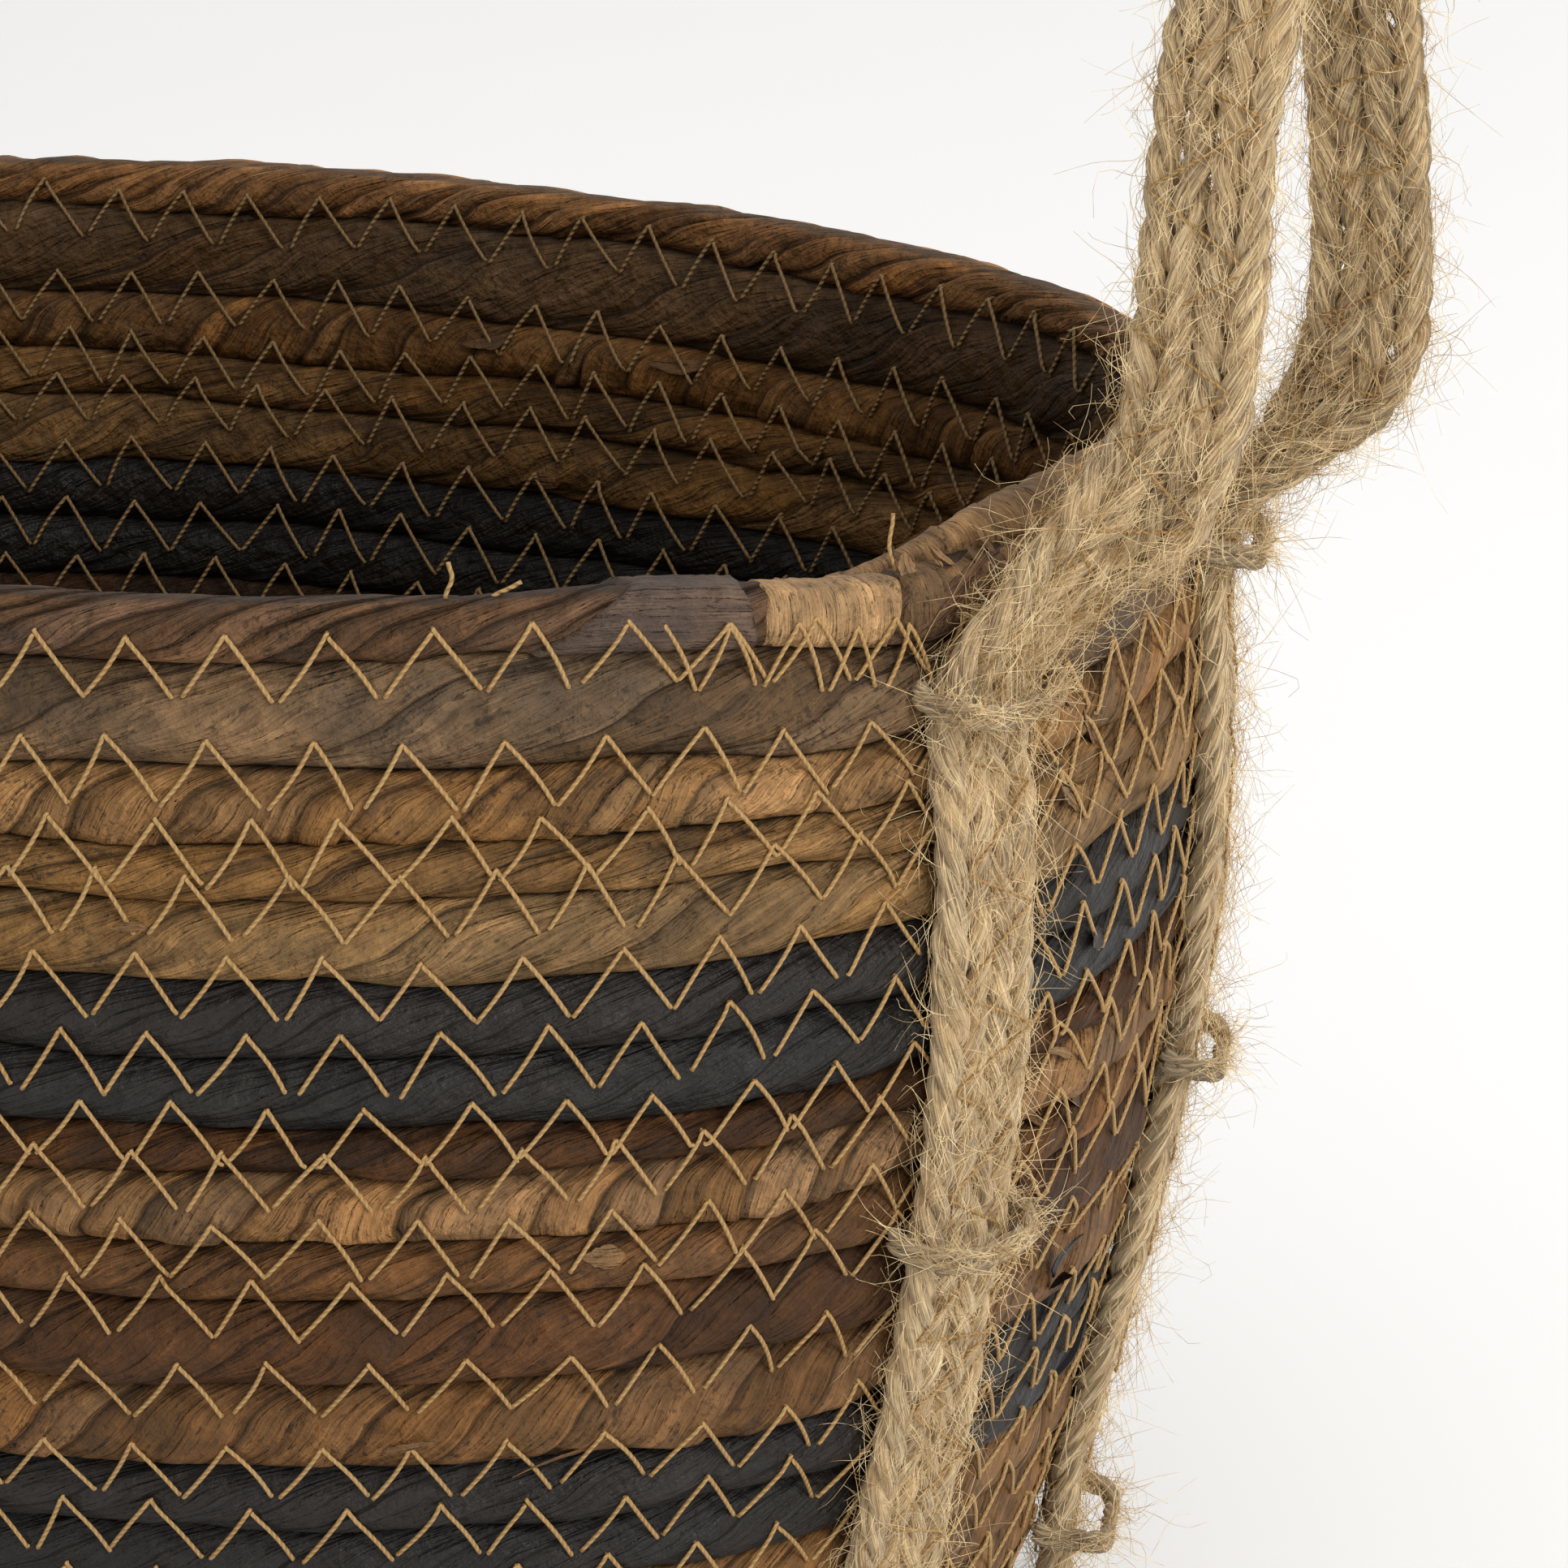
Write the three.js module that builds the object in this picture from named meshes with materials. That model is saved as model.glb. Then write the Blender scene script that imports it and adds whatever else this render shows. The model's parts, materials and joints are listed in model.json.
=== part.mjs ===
// Woven market basket: an oval tub of stacked leaf-rope coils with two jute strap handles.
// Millimetres, +Z up. The origin is the middle of the base, on the surface that the basket
// stands on. +X runs along the basket towards the right handle, and +Y to the back.
import * as THREE from 'three'

// ---- driving dimensions ----------------------------------------------------------------

const halfLength = 155 // the oval's outer half-axes at the rim
const halfWidth = 121.7
const ovalPower = 2.19 // 2 would be an ellipse, and more is squarer

// The height of each coil in the wall from the rim down, with its gap. The rope is uneven.
const rowHeights = [
  7.5, 14.5, 9.8, 7.4, 10.8, 10.2, 9.8, 6.5, 10.2, 8,
  12.6, 12.7, 10, 10, 10, 10, 10, 10, 10
]
const rowGap = 0.4 // between one coil and the next
const wallThickness = 9
const rimThickness = 8
const blackRows = [6, 7, 13, 14]
const rowCount = rowHeights.length
const height = rowHeights.reduce((sum, rowHeight) => sum + rowHeight, 0)

const straightDepth = 55 // the wall is upright this far below the rim, and then draws in
const drawIn = 29 // how far the wall has drawn in at the base
const drawInPower = 1.5

const baseRings = 8 // coils in the floor, around its straight middle strip
const baseThickness = 8.6
const baseStraightShare = 0.15 // how round the innermost coil's sides are, 0 being straight
const stripShare = 0.88 // the middle strip's length as a share of the innermost coil's

const coilSegments = 32
const legSteps = 7
const tieSteps = 10

const strapWidth = 17 // four jute cords side by side
const strapThickness = 5
const strapCords = 4
const strapAngle = 18.5 * Math.PI / 180 // between +X and the wall's normal behind a strap
const strapY = 39.5 // from the basket's long centre line to a strap's middle
const strapX = 149 // the wall's outer face behind a strap's middle, at the rim
const strapGap = 0.4 // between a strap and the wall
const bulgeReach = 7 // the tallest coil's bulge supports a strap this much lower down

const footHeight = 7 // the lower end of a strap
const legTop = 174.5 // where a strap leaves the wall and starts to bend
const footFlare = 5 // the strap's lower end stands off the wall by this much
const footFlareHeight = 28

// The right loop's middle line, from its lower back end to its top: x, y and z.
const loopLine = [
  [161.5, 37, 186],
  [169.8, 35.9, 195],
  [174.2, 33.4, 206],
  [175, 30, 225],
  [175, 24, 248],
  [175, 13.5, 265.5],
  [175, 0, 271.5]
]
const loopSteps = 22
const loopTurnShare = 0.3 // share of the loop over which the strap turns edge on

const tieRadius = 1.6
const tieReach = 12.4 // from a strap's middle to where a tie enters the wall
const tieSag = 2.5 // a tie's middle hangs this much below its ends
const tieHeights = { rim: 171.5, middle: 96, foot: 22 }

// ---- materials -------------------------------------------------------------------------

const leaf = new THREE.MeshStandardMaterial({ color: 0x9a7f5f, roughness: 0.8, metalness: 0 })
const blackLeaf = new THREE.MeshStandardMaterial({ color: 0x26272b, roughness: 0.7, metalness: 0 })
const jute = new THREE.MeshStandardMaterial({ color: 0xcdb488, roughness: 0.95, metalness: 0 })

// ---- the oval and the wall's profile ---------------------------------------------------

// A power of a sine or cosine that keeps its sign. Rounding error near zero stays zero.
function signedPower(value, power) {
  return Math.abs(value) < 1e-6 ? 0 : Math.sign(value) * Math.abs(value) ** power
}

// How far the wall's outer face stands in from the rim at a height above the base.
function inset(z) {
  const below = Math.max(0, height - z - straightDepth) / (height - straightDepth)
  return drawIn * below ** drawInPower
}

// The oval at a distance inside the rim's outline, as a point for each angle.
function wallOval(distance) {
  const power = 2 / ovalPower
  return angle => new THREE.Vector2(
    (halfLength - distance) * signedPower(Math.cos(angle), power),
    (halfWidth - distance) * signedPower(Math.sin(angle), power)
  )
}

// The floor's outlines run from the wall's oval, share 0, to a slit along X, share 1. They
// turn from an oval into a straight strip with round ends, as a flat coil does.
const floorInset = inset(rowHeights.at(-1) / 2) + wallThickness + rowGap
function floorOval(share) {
  const ends = halfLength - halfWidth
  const round = (halfWidth - floorInset) * (1 - share)
  const roundPower = THREE.MathUtils.lerp(2 / ovalPower, 1, share)
  const straightPower = THREE.MathUtils.lerp(2 / ovalPower, baseStraightShare, share)
  return angle => new THREE.Vector2(
    ends * signedPower(Math.cos(angle), straightPower) +
      round * signedPower(Math.cos(angle), roundPower),
    round * signedPower(Math.sin(angle), roundPower)
  )
}

// ---- coils -----------------------------------------------------------------------------

// The rope's section as [across from 0 inside to 1 outside, up from 0 to 1].
const ropeSection = [[0, 0.5], [0.24, 0], [0.76, 0], [1, 0.5], [0.76, 1], [0.24, 1]]

// A closed coil of rope between two outlines: a lathed ring, reshaped to the oval.
function coil(inner, outer, bottom, top) {
  const closed = [...ropeSection, ropeSection[0]]
  const profile = closed.map(([across, up]) => new THREE.Vector2(1 + across, up))
  const ring = new THREE.LatheGeometry(profile, coilSegments).rotateX(Math.PI / 2)
  const place = ring.attributes.position
  for (let i = 0; i < place.count; i++) {
    const angle = Math.atan2(place.getY(i), place.getX(i))
    const across = Math.hypot(place.getX(i), place.getY(i)) - 1
    const at = inner(angle).lerp(outer(angle), across)
    place.setXYZ(i, at.x, at.y, THREE.MathUtils.lerp(bottom, top, place.getZ(i)))
  }
  ring.computeVertexNormals()
  return ring
}

function wallCoil(row) {
  const above = rowHeights.slice(0, row - 1).reduce((sum, rowHeight) => sum + rowHeight, 0)
  const top = height - above - rowGap / 2
  const bottom = top + rowGap - rowHeights[row - 1]
  const outside = inset((top + bottom) / 2)
  const thickness = row === 1 ? rimThickness : wallThickness
  return coil(wallOval(outside + thickness), wallOval(outside), bottom, top)
}

// Coil 1 lies against the wall. The middle strip fills half a coil's width at the end.
const floorStep = 1 / (baseRings + 0.5)
const floorGapShare = rowGap / (halfWidth - floorInset)
function floorCoil(ring) {
  const outer = floorOval((ring - 1) * floorStep)
  const inner = floorOval(ring * floorStep - floorGapShare)
  return coil(inner, outer, 0, baseThickness)
}

// The floor's middle strip: a straight length of rope with round ends.
function floorStrip() {
  const half = stripShare * (halfLength - halfWidth)
  const radius = (halfWidth - floorInset) * floorStep / 2 - rowGap
  const bevel = radius * 0.48
  const outline = new THREE.Shape()
  outline.absarc(half, 0, radius - bevel, -Math.PI / 2, Math.PI / 2)
  outline.absarc(-half, 0, radius - bevel, Math.PI / 2, 3 * Math.PI / 2)
  return new THREE.ExtrudeGeometry(outline, {
    depth: baseThickness / 3,
    bevelThickness: baseThickness / 3,
    bevelSize: bevel,
    bevelSegments: 1,
    curveSegments: 6
  }).translate(0, 0, baseThickness / 3)
}

// ---- jute straps -----------------------------------------------------------------------

// Four cords side by side, as a closed outline across the strap's width and thickness.
function strapSection() {
  const pitch = strapWidth / strapCords
  const high = strapThickness / 2
  const face = []
  for (let cord = 0; cord < strapCords; cord++) {
    const middle = (cord + 0.5) * pitch - strapWidth / 2
    if (cord > 0) face.push([middle - pitch / 2, 0.6 * high])
    face.push([middle - 0.25 * pitch, high], [middle + 0.25 * pitch, high])
  }
  const back = face.map(([across, out]) => [-across, -out])
  const outline = [[-strapWidth / 2, 0], ...face, [strapWidth / 2, 0], ...back]
  return new THREE.Shape(outline.map(([across, out]) => new THREE.Vector2(across, out)))
}

// A strap along a line: a straight extrusion whose every section is set on the line. At each
// share of the line, frame gives the middle and the directions of its width and its face.
function strapAlong(frame, steps) {
  const strap = new THREE.ExtrudeGeometry(strapSection(), { depth: 1, steps, bevelEnabled: false })
  const place = strap.attributes.position
  for (let i = 0; i < place.count; i++) {
    const { middle, across, out } = frame(place.getZ(i))
    const at = middle.clone()
    at.addScaledVector(across, place.getX(i)).addScaledVector(out, place.getY(i))
    place.setXYZ(i, at.x, at.y, at.z)
  }
  strap.computeVertexNormals()
  return strap
}

// The wall's outward and sideways directions behind a strap. Side is 1 at the back and -1 at
// the front.
function wallFrame(side) {
  const out = new THREE.Vector3(Math.cos(strapAngle), side * Math.sin(strapAngle), 0)
  const along = new THREE.Vector3(-out.y, out.x, 0)
  const foot = new THREE.Vector3(strapX, side * strapY, 0)
  return { out, along, foot }
}

// A strap lies on the bulges of the coils, so it follows the wall half a coil higher up.
function strapInset(z) {
  return inset(Math.min(height, z + bulgeReach))
}

function leg(side) {
  const { out, along, foot } = wallFrame(side)
  return strapAlong(share => {
    const z = THREE.MathUtils.lerp(footHeight, legTop, share)
    const flare = footFlare * (1 - Math.min(1, (z - footHeight) / footFlareHeight)) ** 2
    const standOff = strapThickness / 2 + strapGap + flare - strapInset(z)
    const middle = foot.clone().addScaledVector(out, standOff).setZ(z)
    return { middle, across: along.clone().negate(), out }
  }, legSteps)
}

// The loop runs from the front leg over the top to the back leg. Its strap lies along the
// wall at both ends and turns to lie across the loop's plane.
function loop() {
  const back = loopLine.map(([x, y, z]) => new THREE.Vector3(x, y, z))
  const front = back.slice(0, -1).map(point => point.clone().setY(-point.y))
  const line = new THREE.CatmullRomCurve3([...front, ...back.reverse()])
  return strapAlong(share => {
    const middle = line.getPointAt(share)
    const tangent = line.getTangentAt(share)
    const fromEnd = Math.min(share, 1 - share) / loopTurnShare
    const lying = 1 - THREE.MathUtils.smoothstep(fromEnd, 0, 1)
    const quarter = (Math.PI / 2 - strapAngle) * lying * (share < 0.5 ? 1 : -1)
    const across = new THREE.Vector3(-Math.cos(quarter), -Math.sin(quarter), 0)
    across.addScaledVector(tangent, -across.dot(tangent)).normalize()
    return { middle, across, out: tangent.clone().cross(across) }
  }, loopSteps)
}

// A tie is a short cord that comes out of the wall beside a strap, crosses the strap and
// goes in again on the other side.
function tie(side, z) {
  const { out, along, foot } = wallFrame(side)
  const over = strapThickness + 2 * strapGap + tieRadius
  const flare = z < footHeight + footFlareHeight ? footFlare / 2 : 0
  const arch = [
    [-tieReach, tieRadius, 0],
    [-tieReach + 1, 0.62 * over, 0.2],
    [-tieReach + 4, over, 0.6],
    [0, over, 1],
    [tieReach - 4, over, 0.6],
    [tieReach - 1, 0.62 * over, 0.2],
    [tieReach, tieRadius, 0]
  ]
  const points = arch.map(([across, off, sag]) => {
    const standOff = strapGap + off + (off > tieRadius ? flare : 0) - strapInset(z)
    const at = foot.clone().addScaledVector(along, across).addScaledVector(out, standOff)
    return at.setZ(z - sag * tieSag)
  })
  const section = new THREE.Shape()
  section.absarc(0, 0, tieRadius, 0, 2 * Math.PI)
  return new THREE.ExtrudeGeometry(section, {
    steps: tieSteps,
    curveSegments: 3,
    extrudePath: new THREE.CatmullRomCurve3(points)
  })
}

// ---- assembly --------------------------------------------------------------------------

const basket = new THREE.Group()

function add(parent, name, geometry, material) {
  const mesh = new THREE.Mesh(geometry, material)
  mesh.name = name
  parent.add(mesh)
}

function twoDigits(number) {
  return String(number).padStart(2, '0')
}

for (let row = 1; row <= rowCount; row++) {
  const black = blackRows.includes(row)
  const name = row === 1 ? 'rim_coil' : `wall_coil_${twoDigits(row)}${black ? '_black' : ''}`
  add(basket, name, wallCoil(row), black ? blackLeaf : leaf)
}
for (let ring = 1; ring <= baseRings; ring++) {
  add(basket, `base_coil_${twoDigits(ring)}`, floorCoil(ring), leaf)
}
add(basket, 'base_middle_strip', floorStrip(), leaf)

// Each handle is made at the +X end, and the left one is the same handle turned half round.
for (const end of ['right', 'left']) {
  const handle = new THREE.Group()
  handle.rotation.z = end === 'left' ? Math.PI : 0
  basket.add(handle)
  add(handle, `${end}_handle_loop`, loop(), jute)
  for (const side of [-1, 1]) {
    const facesFront = (side < 0) === (end === 'right')
    const place = `${end}_${facesFront ? 'front' : 'back'}`
    add(handle, `${place}_leg_strap`, leg(side), jute)
    for (const [name, z] of Object.entries(tieHeights)) {
      add(handle, `${place}_${name}_tie`, tie(side, z), jute)
    }
  }
}

export default basket
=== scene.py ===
import json
import math

import bpy
import numpy as np
from mathutils import Matrix, Vector

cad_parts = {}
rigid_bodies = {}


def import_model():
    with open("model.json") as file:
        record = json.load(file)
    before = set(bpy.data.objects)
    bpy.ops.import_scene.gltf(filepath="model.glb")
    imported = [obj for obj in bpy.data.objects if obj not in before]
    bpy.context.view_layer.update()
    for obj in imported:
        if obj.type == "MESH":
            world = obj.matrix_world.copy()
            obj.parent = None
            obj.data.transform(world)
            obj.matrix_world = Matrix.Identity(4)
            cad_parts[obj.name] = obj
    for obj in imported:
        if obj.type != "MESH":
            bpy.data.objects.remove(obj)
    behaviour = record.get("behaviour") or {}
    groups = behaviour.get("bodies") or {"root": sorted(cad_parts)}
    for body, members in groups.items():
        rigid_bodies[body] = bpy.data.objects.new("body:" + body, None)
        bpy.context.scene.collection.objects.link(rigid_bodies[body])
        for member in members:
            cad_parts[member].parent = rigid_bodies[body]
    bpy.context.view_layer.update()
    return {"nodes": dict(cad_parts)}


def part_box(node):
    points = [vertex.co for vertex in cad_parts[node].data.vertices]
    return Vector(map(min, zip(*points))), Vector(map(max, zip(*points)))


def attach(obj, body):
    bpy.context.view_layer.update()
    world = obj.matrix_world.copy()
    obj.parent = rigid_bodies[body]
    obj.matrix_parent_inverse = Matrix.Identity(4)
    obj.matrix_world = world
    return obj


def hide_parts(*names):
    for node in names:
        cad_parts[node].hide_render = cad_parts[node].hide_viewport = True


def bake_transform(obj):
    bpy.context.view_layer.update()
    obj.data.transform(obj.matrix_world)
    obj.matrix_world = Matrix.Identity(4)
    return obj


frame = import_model()

# Lengths are worked in millimetres and written to the meshes in metres.
MM = 0.001
BASKET = "basket"

# ---- camera ------------------------------------------------------------------------------


def place_camera():
    """A long lens at the front right, 18 degrees down, aimed at the basket's right half."""
    forward = Vector((-0.411456, 0.857453, -0.308996)).normalized()
    right = forward.cross(Vector((0, 0, 1))).normalized()
    up = right.cross(forward)
    data = bpy.data.cameras.new("camera")
    data.lens = 139.275
    data.sensor_width = 36
    data.clip_end = 20
    camera = bpy.data.objects.new("camera", data)
    turn = Matrix((right, up, -forward)).transposed().to_4x4()
    camera.matrix_world = Matrix.Translation((0.447668, -0.718757, 0.397743)) @ turn
    bpy.context.scene.collection.objects.link(camera)
    bpy.context.scene.camera = camera


place_camera()

# ---- mesh helpers ------------------------------------------------------------------------


def unit(v):
    return v / np.maximum(np.linalg.norm(v, axis=-1, keepdims=True), 1e-12)


def smooth(x, low=0.0, high=1.0):
    t = np.clip((x - low) / (high - low), 0, 1)
    return t * t * (3 - 2 * t)


def signed_power(x, power):
    return np.sign(x) * np.abs(x) ** power


class Ripple:
    """Smooth random values from -1 to 1 on a grid of cells that repeats both ways."""

    def __init__(self, rng, rows, columns):
        self.grid = rng.uniform(-1, 1, (rows, columns))

    def __call__(self, u, v):
        i, j = np.floor(u).astype(int), np.floor(v).astype(int)
        a, b = smooth(u - i), smooth(v - j)
        rows, columns = self.grid.shape
        g, i0, j0 = self.grid, i % rows, j % columns
        i1, j1 = (i + 1) % rows, (j + 1) % columns
        near = g[i0, j0] * (1 - b) + g[i0, j1] * b
        far = g[i1, j0] * (1 - b) + g[i1, j1] * b
        return near * (1 - a) + far * a


def tube_quads(rows, columns):
    """Faces of a tube of points, whose rows go along it and whose columns go round it."""
    i, j = np.meshgrid(np.arange(rows - 1), np.arange(columns), indexing="ij")
    i1, j1 = i + 1, (j + 1) % columns
    corners = [i * columns + j, i1 * columns + j, i1 * columns + j1, i * columns + j1]
    return np.stack(corners, -1).reshape(-1, 4)


def make_object(name, points, faces, attributes, material):
    """A mesh object from points in mm, a list of face arrays and named point attributes."""
    mesh = bpy.data.meshes.new(name)
    mesh.vertices.add(len(points))
    mesh.vertices.foreach_set("co", (points * MM).astype(np.float32).ravel())
    sizes = np.concatenate([np.full(len(f), f.shape[1]) for f in faces])
    mesh.loops.add(int(sizes.sum()))
    corners = np.concatenate([f.ravel() for f in faces])
    mesh.loops.foreach_set("vertex_index", corners.astype(np.int32))
    mesh.polygons.add(len(sizes))
    starts = np.concatenate([[0], np.cumsum(sizes)[:-1]])
    mesh.polygons.foreach_set("loop_start", starts.astype(np.int32))
    mesh.polygons.foreach_set("use_smooth", np.ones(len(sizes), bool))
    for label, values in attributes.items():
        if values.ndim == 1:
            layer = mesh.attributes.new(label, "FLOAT", "POINT")
            layer.data.foreach_set("value", values.astype(np.float32))
        else:
            layer = mesh.attributes.new(label, "FLOAT_VECTOR", "POINT")
            layer.data.foreach_set("vector", values.astype(np.float32).ravel())
    mesh.update(calc_edges=True)
    mesh.validate()
    mesh.materials.append(material)
    piece = bpy.data.objects.new(name, mesh)
    bpy.context.scene.collection.objects.link(piece)
    return piece


def sweep(paths, ups, across, thick, sides):
    """Tubes along paths of shape (tubes, steps, 3), with oval sections. across and thick are
    half sizes that broadcast to (tubes, steps). Gives points, faces, angle and run in mm."""
    tubes, steps, _ = paths.shape
    tangent = unit(np.gradient(paths, axis=1))
    side = unit(np.cross(tangent, ups))
    up = np.cross(side, tangent)
    across = np.broadcast_to(across, (tubes, steps))[..., None, None]
    thick = np.broadcast_to(thick, (tubes, steps))[..., None, None]
    angle = np.arange(sides) / sides * 2 * math.pi
    ring = np.cos(angle)[:, None], np.sin(angle)[:, None]
    points = paths[:, :, None] + side[:, :, None] * ring[0] * across
    points = points + up[:, :, None] * ring[1] * thick
    quads = tube_quads(steps, sides)
    first = (np.arange(tubes) * steps * sides)[:, None, None]
    start_cap = np.arange(sides)[None] + first[:, 0]
    end_cap = start_cap[:, ::-1] + (steps - 1) * sides
    run = np.linalg.norm(np.diff(paths, axis=1, prepend=paths[:, :1]), axis=-1).cumsum(1)
    run = np.broadcast_to(run[..., None], (tubes, steps, sides))
    angles = np.broadcast_to(angle, (tubes, steps, sides))
    faces = [(quads[None] + first).reshape(-1, 4), start_cap, end_cap]
    return points.reshape(-1, 3), faces, angles.ravel(), run.ravel()


def join(parts):
    """Several (points, faces, angle, run) sweeps as one."""
    points, faces, angles, runs, count = [], [], [], [], 0
    for part_points, part_faces, angle, run in parts:
        points.append(part_points)
        faces += [f + count for f in part_faces]
        angles.append(angle)
        runs.append(run)
        count += len(part_points)
    return np.vstack(points), faces, np.concatenate(angles), np.concatenate(runs)


def ride(piece, nodes=()):
    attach(piece, BASKET)
    if nodes:
        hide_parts(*nodes)


# ---- materials ---------------------------------------------------------------------------


class Shader:
    """A node material with a few shorthands."""

    def __init__(self, name, roughness):
        self.material = bpy.data.materials.new(name)
        self.material.use_nodes = True
        self.tree = self.material.node_tree
        self.shader = self.tree.nodes["Principled BSDF"]
        self.shader.inputs["Roughness"].default_value = roughness

    def node(self, kind, links=(), **settings):
        node = self.tree.nodes.new(kind)
        for key, value in settings.items():
            setattr(node, key, value)
        for key, value in dict(links).items():
            self.set(node.inputs[key], value)
        return node

    def set(self, socket, value):
        if isinstance(value, bpy.types.NodeSocket):
            self.tree.links.new(value, socket)
        else:
            socket.default_value = value

    def attribute(self, name, output="Fac"):
        return self.node("ShaderNodeAttribute", attribute_name=name).outputs[output]

    def stretched(self, vector, scale):
        links = {0: vector, 1: scale}
        return self.node("ShaderNodeVectorMath", links, operation="MULTIPLY").outputs[0]

    def noise(self, vector, scale, detail=3.0, roughness=0.55):
        links = {"Vector": vector, "Scale": scale, "Detail": detail, "Roughness": roughness}
        return self.node("ShaderNodeTexNoise", links).outputs["Fac"]

    def remap(self, value, low, high, to_low, to_high):
        links = {0: value, 1: low, 2: high, 3: to_low, 4: to_high}
        return self.node("ShaderNodeMapRange", links).outputs[0]

    def math(self, operation, a, b):
        return self.node("ShaderNodeMath", {0: a, 1: b}, operation=operation).outputs[0]

    def mix(self, factor, a, b, blend_type="MIX"):
        node = self.node("ShaderNodeMix", data_type="RGBA", blend_type=blend_type)
        self.set(node.inputs[0], factor)
        self.set(node.inputs[6], a)
        self.set(node.inputs[7], b)
        return node.outputs[2]

    def bump(self, height, strength, distance, normal=None):
        links = {"Strength": strength, "Distance": distance, "Height": height}
        if normal is not None:
            links["Normal"] = normal
        return self.node("ShaderNodeBump", links).outputs[0]

    def finish(self, colour, roughness=None, normal=None):
        self.set(self.shader.inputs["Base Color"], colour)
        if roughness is not None:
            self.set(self.shader.inputs["Roughness"], roughness)
        if normal is not None:
            self.set(self.shader.inputs["Normal"], normal)
        return self.material


def leaf_material(name, speckle, patch_colour, shine, low_rough, high_rough):
    """Dried leaf: fibres along each strip, dark flecks, stained patches, and painted shade in creases
    and fold lines.
    The tint, with its painted shade and light, the fibre's direction and the painted crease shade come
    from the mesh."""
    s = Shader(name, high_rough)
    fibre = s.attribute("fibre", "Vector")
    tint = s.attribute("tint", "Vector")
    place = s.node("ShaderNodeTexCoord").outputs["Object"]
    coarse = s.noise(s.stretched(fibre, (0.02, 0.24, 1)), 1.0, 4.0)
    middle = s.noise(s.stretched(fibre, (0.05, 1.3, 1)), 1.0, 3.0, 0.65)
    fine = s.noise(s.stretched(fibre, (0.12, 4.0, 1)), 1.0, 2.0, 0.7)
    folds = s.noise(s.stretched(fibre, (0.04, 0.5, 2.3)), 1.0, 2.0)
    patch = s.noise(place, 70.0, 4.0, 0.65)
    flecks = s.noise(s.stretched(fibre, (0.4, 1.3, 1)), 1.0, 3.0)
    crumple = s.noise(place, 330.0, 4.0, 0.6)
    shade = s.remap(coarse, 0.3, 0.7, 0.72, 1.3)
    for layer, low, high in ((middle, 0.74, 1.26), (fine, 0.72, 1.28), (crumple, 0.7, 1.3)):
        shade = s.math("MULTIPLY", shade, s.remap(layer, 0.3, 0.7, low, high))
    grey = s.node("ShaderNodeCombineXYZ", {0: shade, 1: shade, 2: shade}).outputs[0]
    colour = s.mix(1.0, tint, grey, "MULTIPLY")
    stain = s.mix(1.0, tint, (*patch_colour, 1), "MULTIPLY")
    colour = s.mix(s.remap(patch, 0.48, 0.66, 0.0, 0.75), colour, stain)
    colour = s.mix(s.remap(flecks, 0.62, 0.70, 0.0, speckle), colour, (0.02, 0.012, 0.007, 1))
    spots = s.remap(s.noise(place, 900.0, 3.0, 0.7), 0.55, 0.64, 0.0, speckle)
    spotted = s.math("MULTIPLY", spots, s.remap(s.noise(place, 45.0, 3.0), 0.46, 0.6, 0.0, 1.0))
    colour = s.mix(spotted, colour, (0.03, 0.021, 0.015, 1))
    # Painted shade: thin dark lines along the noise's fold lines, which the bump below also sinks.
    line = s.math("ABSOLUTE", s.math("SUBTRACT", folds, 0.5), 0.0)
    colour = s.mix(s.remap(line, 0.0, 0.015, 0.4, 0.0), colour, (0.014, 0.008, 0.004, 1))
    # Painted shade: the mesh's crease value darkens creases, strip edges and the grooves between
    # coils.
    crease_shade = s.attribute("crease_shade")
    colour = s.mix(s.remap(crease_shade, 0.0, 1.0, 0.0, 0.72), colour, (0.016, 0.010, 0.006, 1))
    s.shader.inputs["Specular IOR Level"].default_value = shine
    rough = s.remap(middle, 0.3, 0.7, low_rough, high_rough)
    normal = s.bump(s.remap(line, 0.0, 0.06, 0.0, 1.0), 0.6, 0.0004)
    normal = s.bump(coarse, 0.8, 0.0010, normal)
    normal = s.bump(crumple, 0.9, 0.0016, normal)
    normal = s.bump(middle, 0.8, 0.0007, normal)
    normal = s.bump(fine, 0.6, 0.0002, normal)
    return s.finish(colour, rough, normal)


PLY_TURN = 5.5  # radians that the thread's ply turns in 1 mm


def thread_material():
    """Golden sewing thread with the slant of its ply."""
    s = Shader("stitch_thread", 0.62)
    run = s.attribute("run")
    angle = s.attribute("angle")
    slant = s.math("ADD", s.math("MULTIPLY", run, PLY_TURN), angle)
    ply = s.math("SINE", slant, 0.0)
    place = s.node("ShaderNodeTexCoord").outputs["Object"]
    patch = s.noise(place, 90.0)
    # Painted shade and light: the thread is darker in its ply's grooves and lighter on its ridges,
    # with the same slant as the bump.
    groove_shade, ridge_light = (0.30, 0.165, 0.05, 1), (0.45, 0.265, 0.09, 1)
    colour = s.mix(s.remap(ply, -1, 1, 0.0, 1.0), groove_shade, ridge_light)
    colour = s.mix(s.remap(patch, 0.35, 0.65, 0.0, 0.45), colour, (0.48, 0.31, 0.13, 1))
    # Painted shade: the thread on the basket's inside is blended up to 55 percent towards a near-black
    # brown.
    painted_thread_shade = s.attribute("painted_thread_shade")
    colour = s.mix(s.math("MULTIPLY", painted_thread_shade, 0.55), colour, (0.03, 0.014, 0.004, 1))
    rough = s.remap(patch, 0.3, 0.7, 0.5, 0.75)
    return s.finish(colour, rough, s.bump(ply, 0.6, 0.0002))


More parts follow.
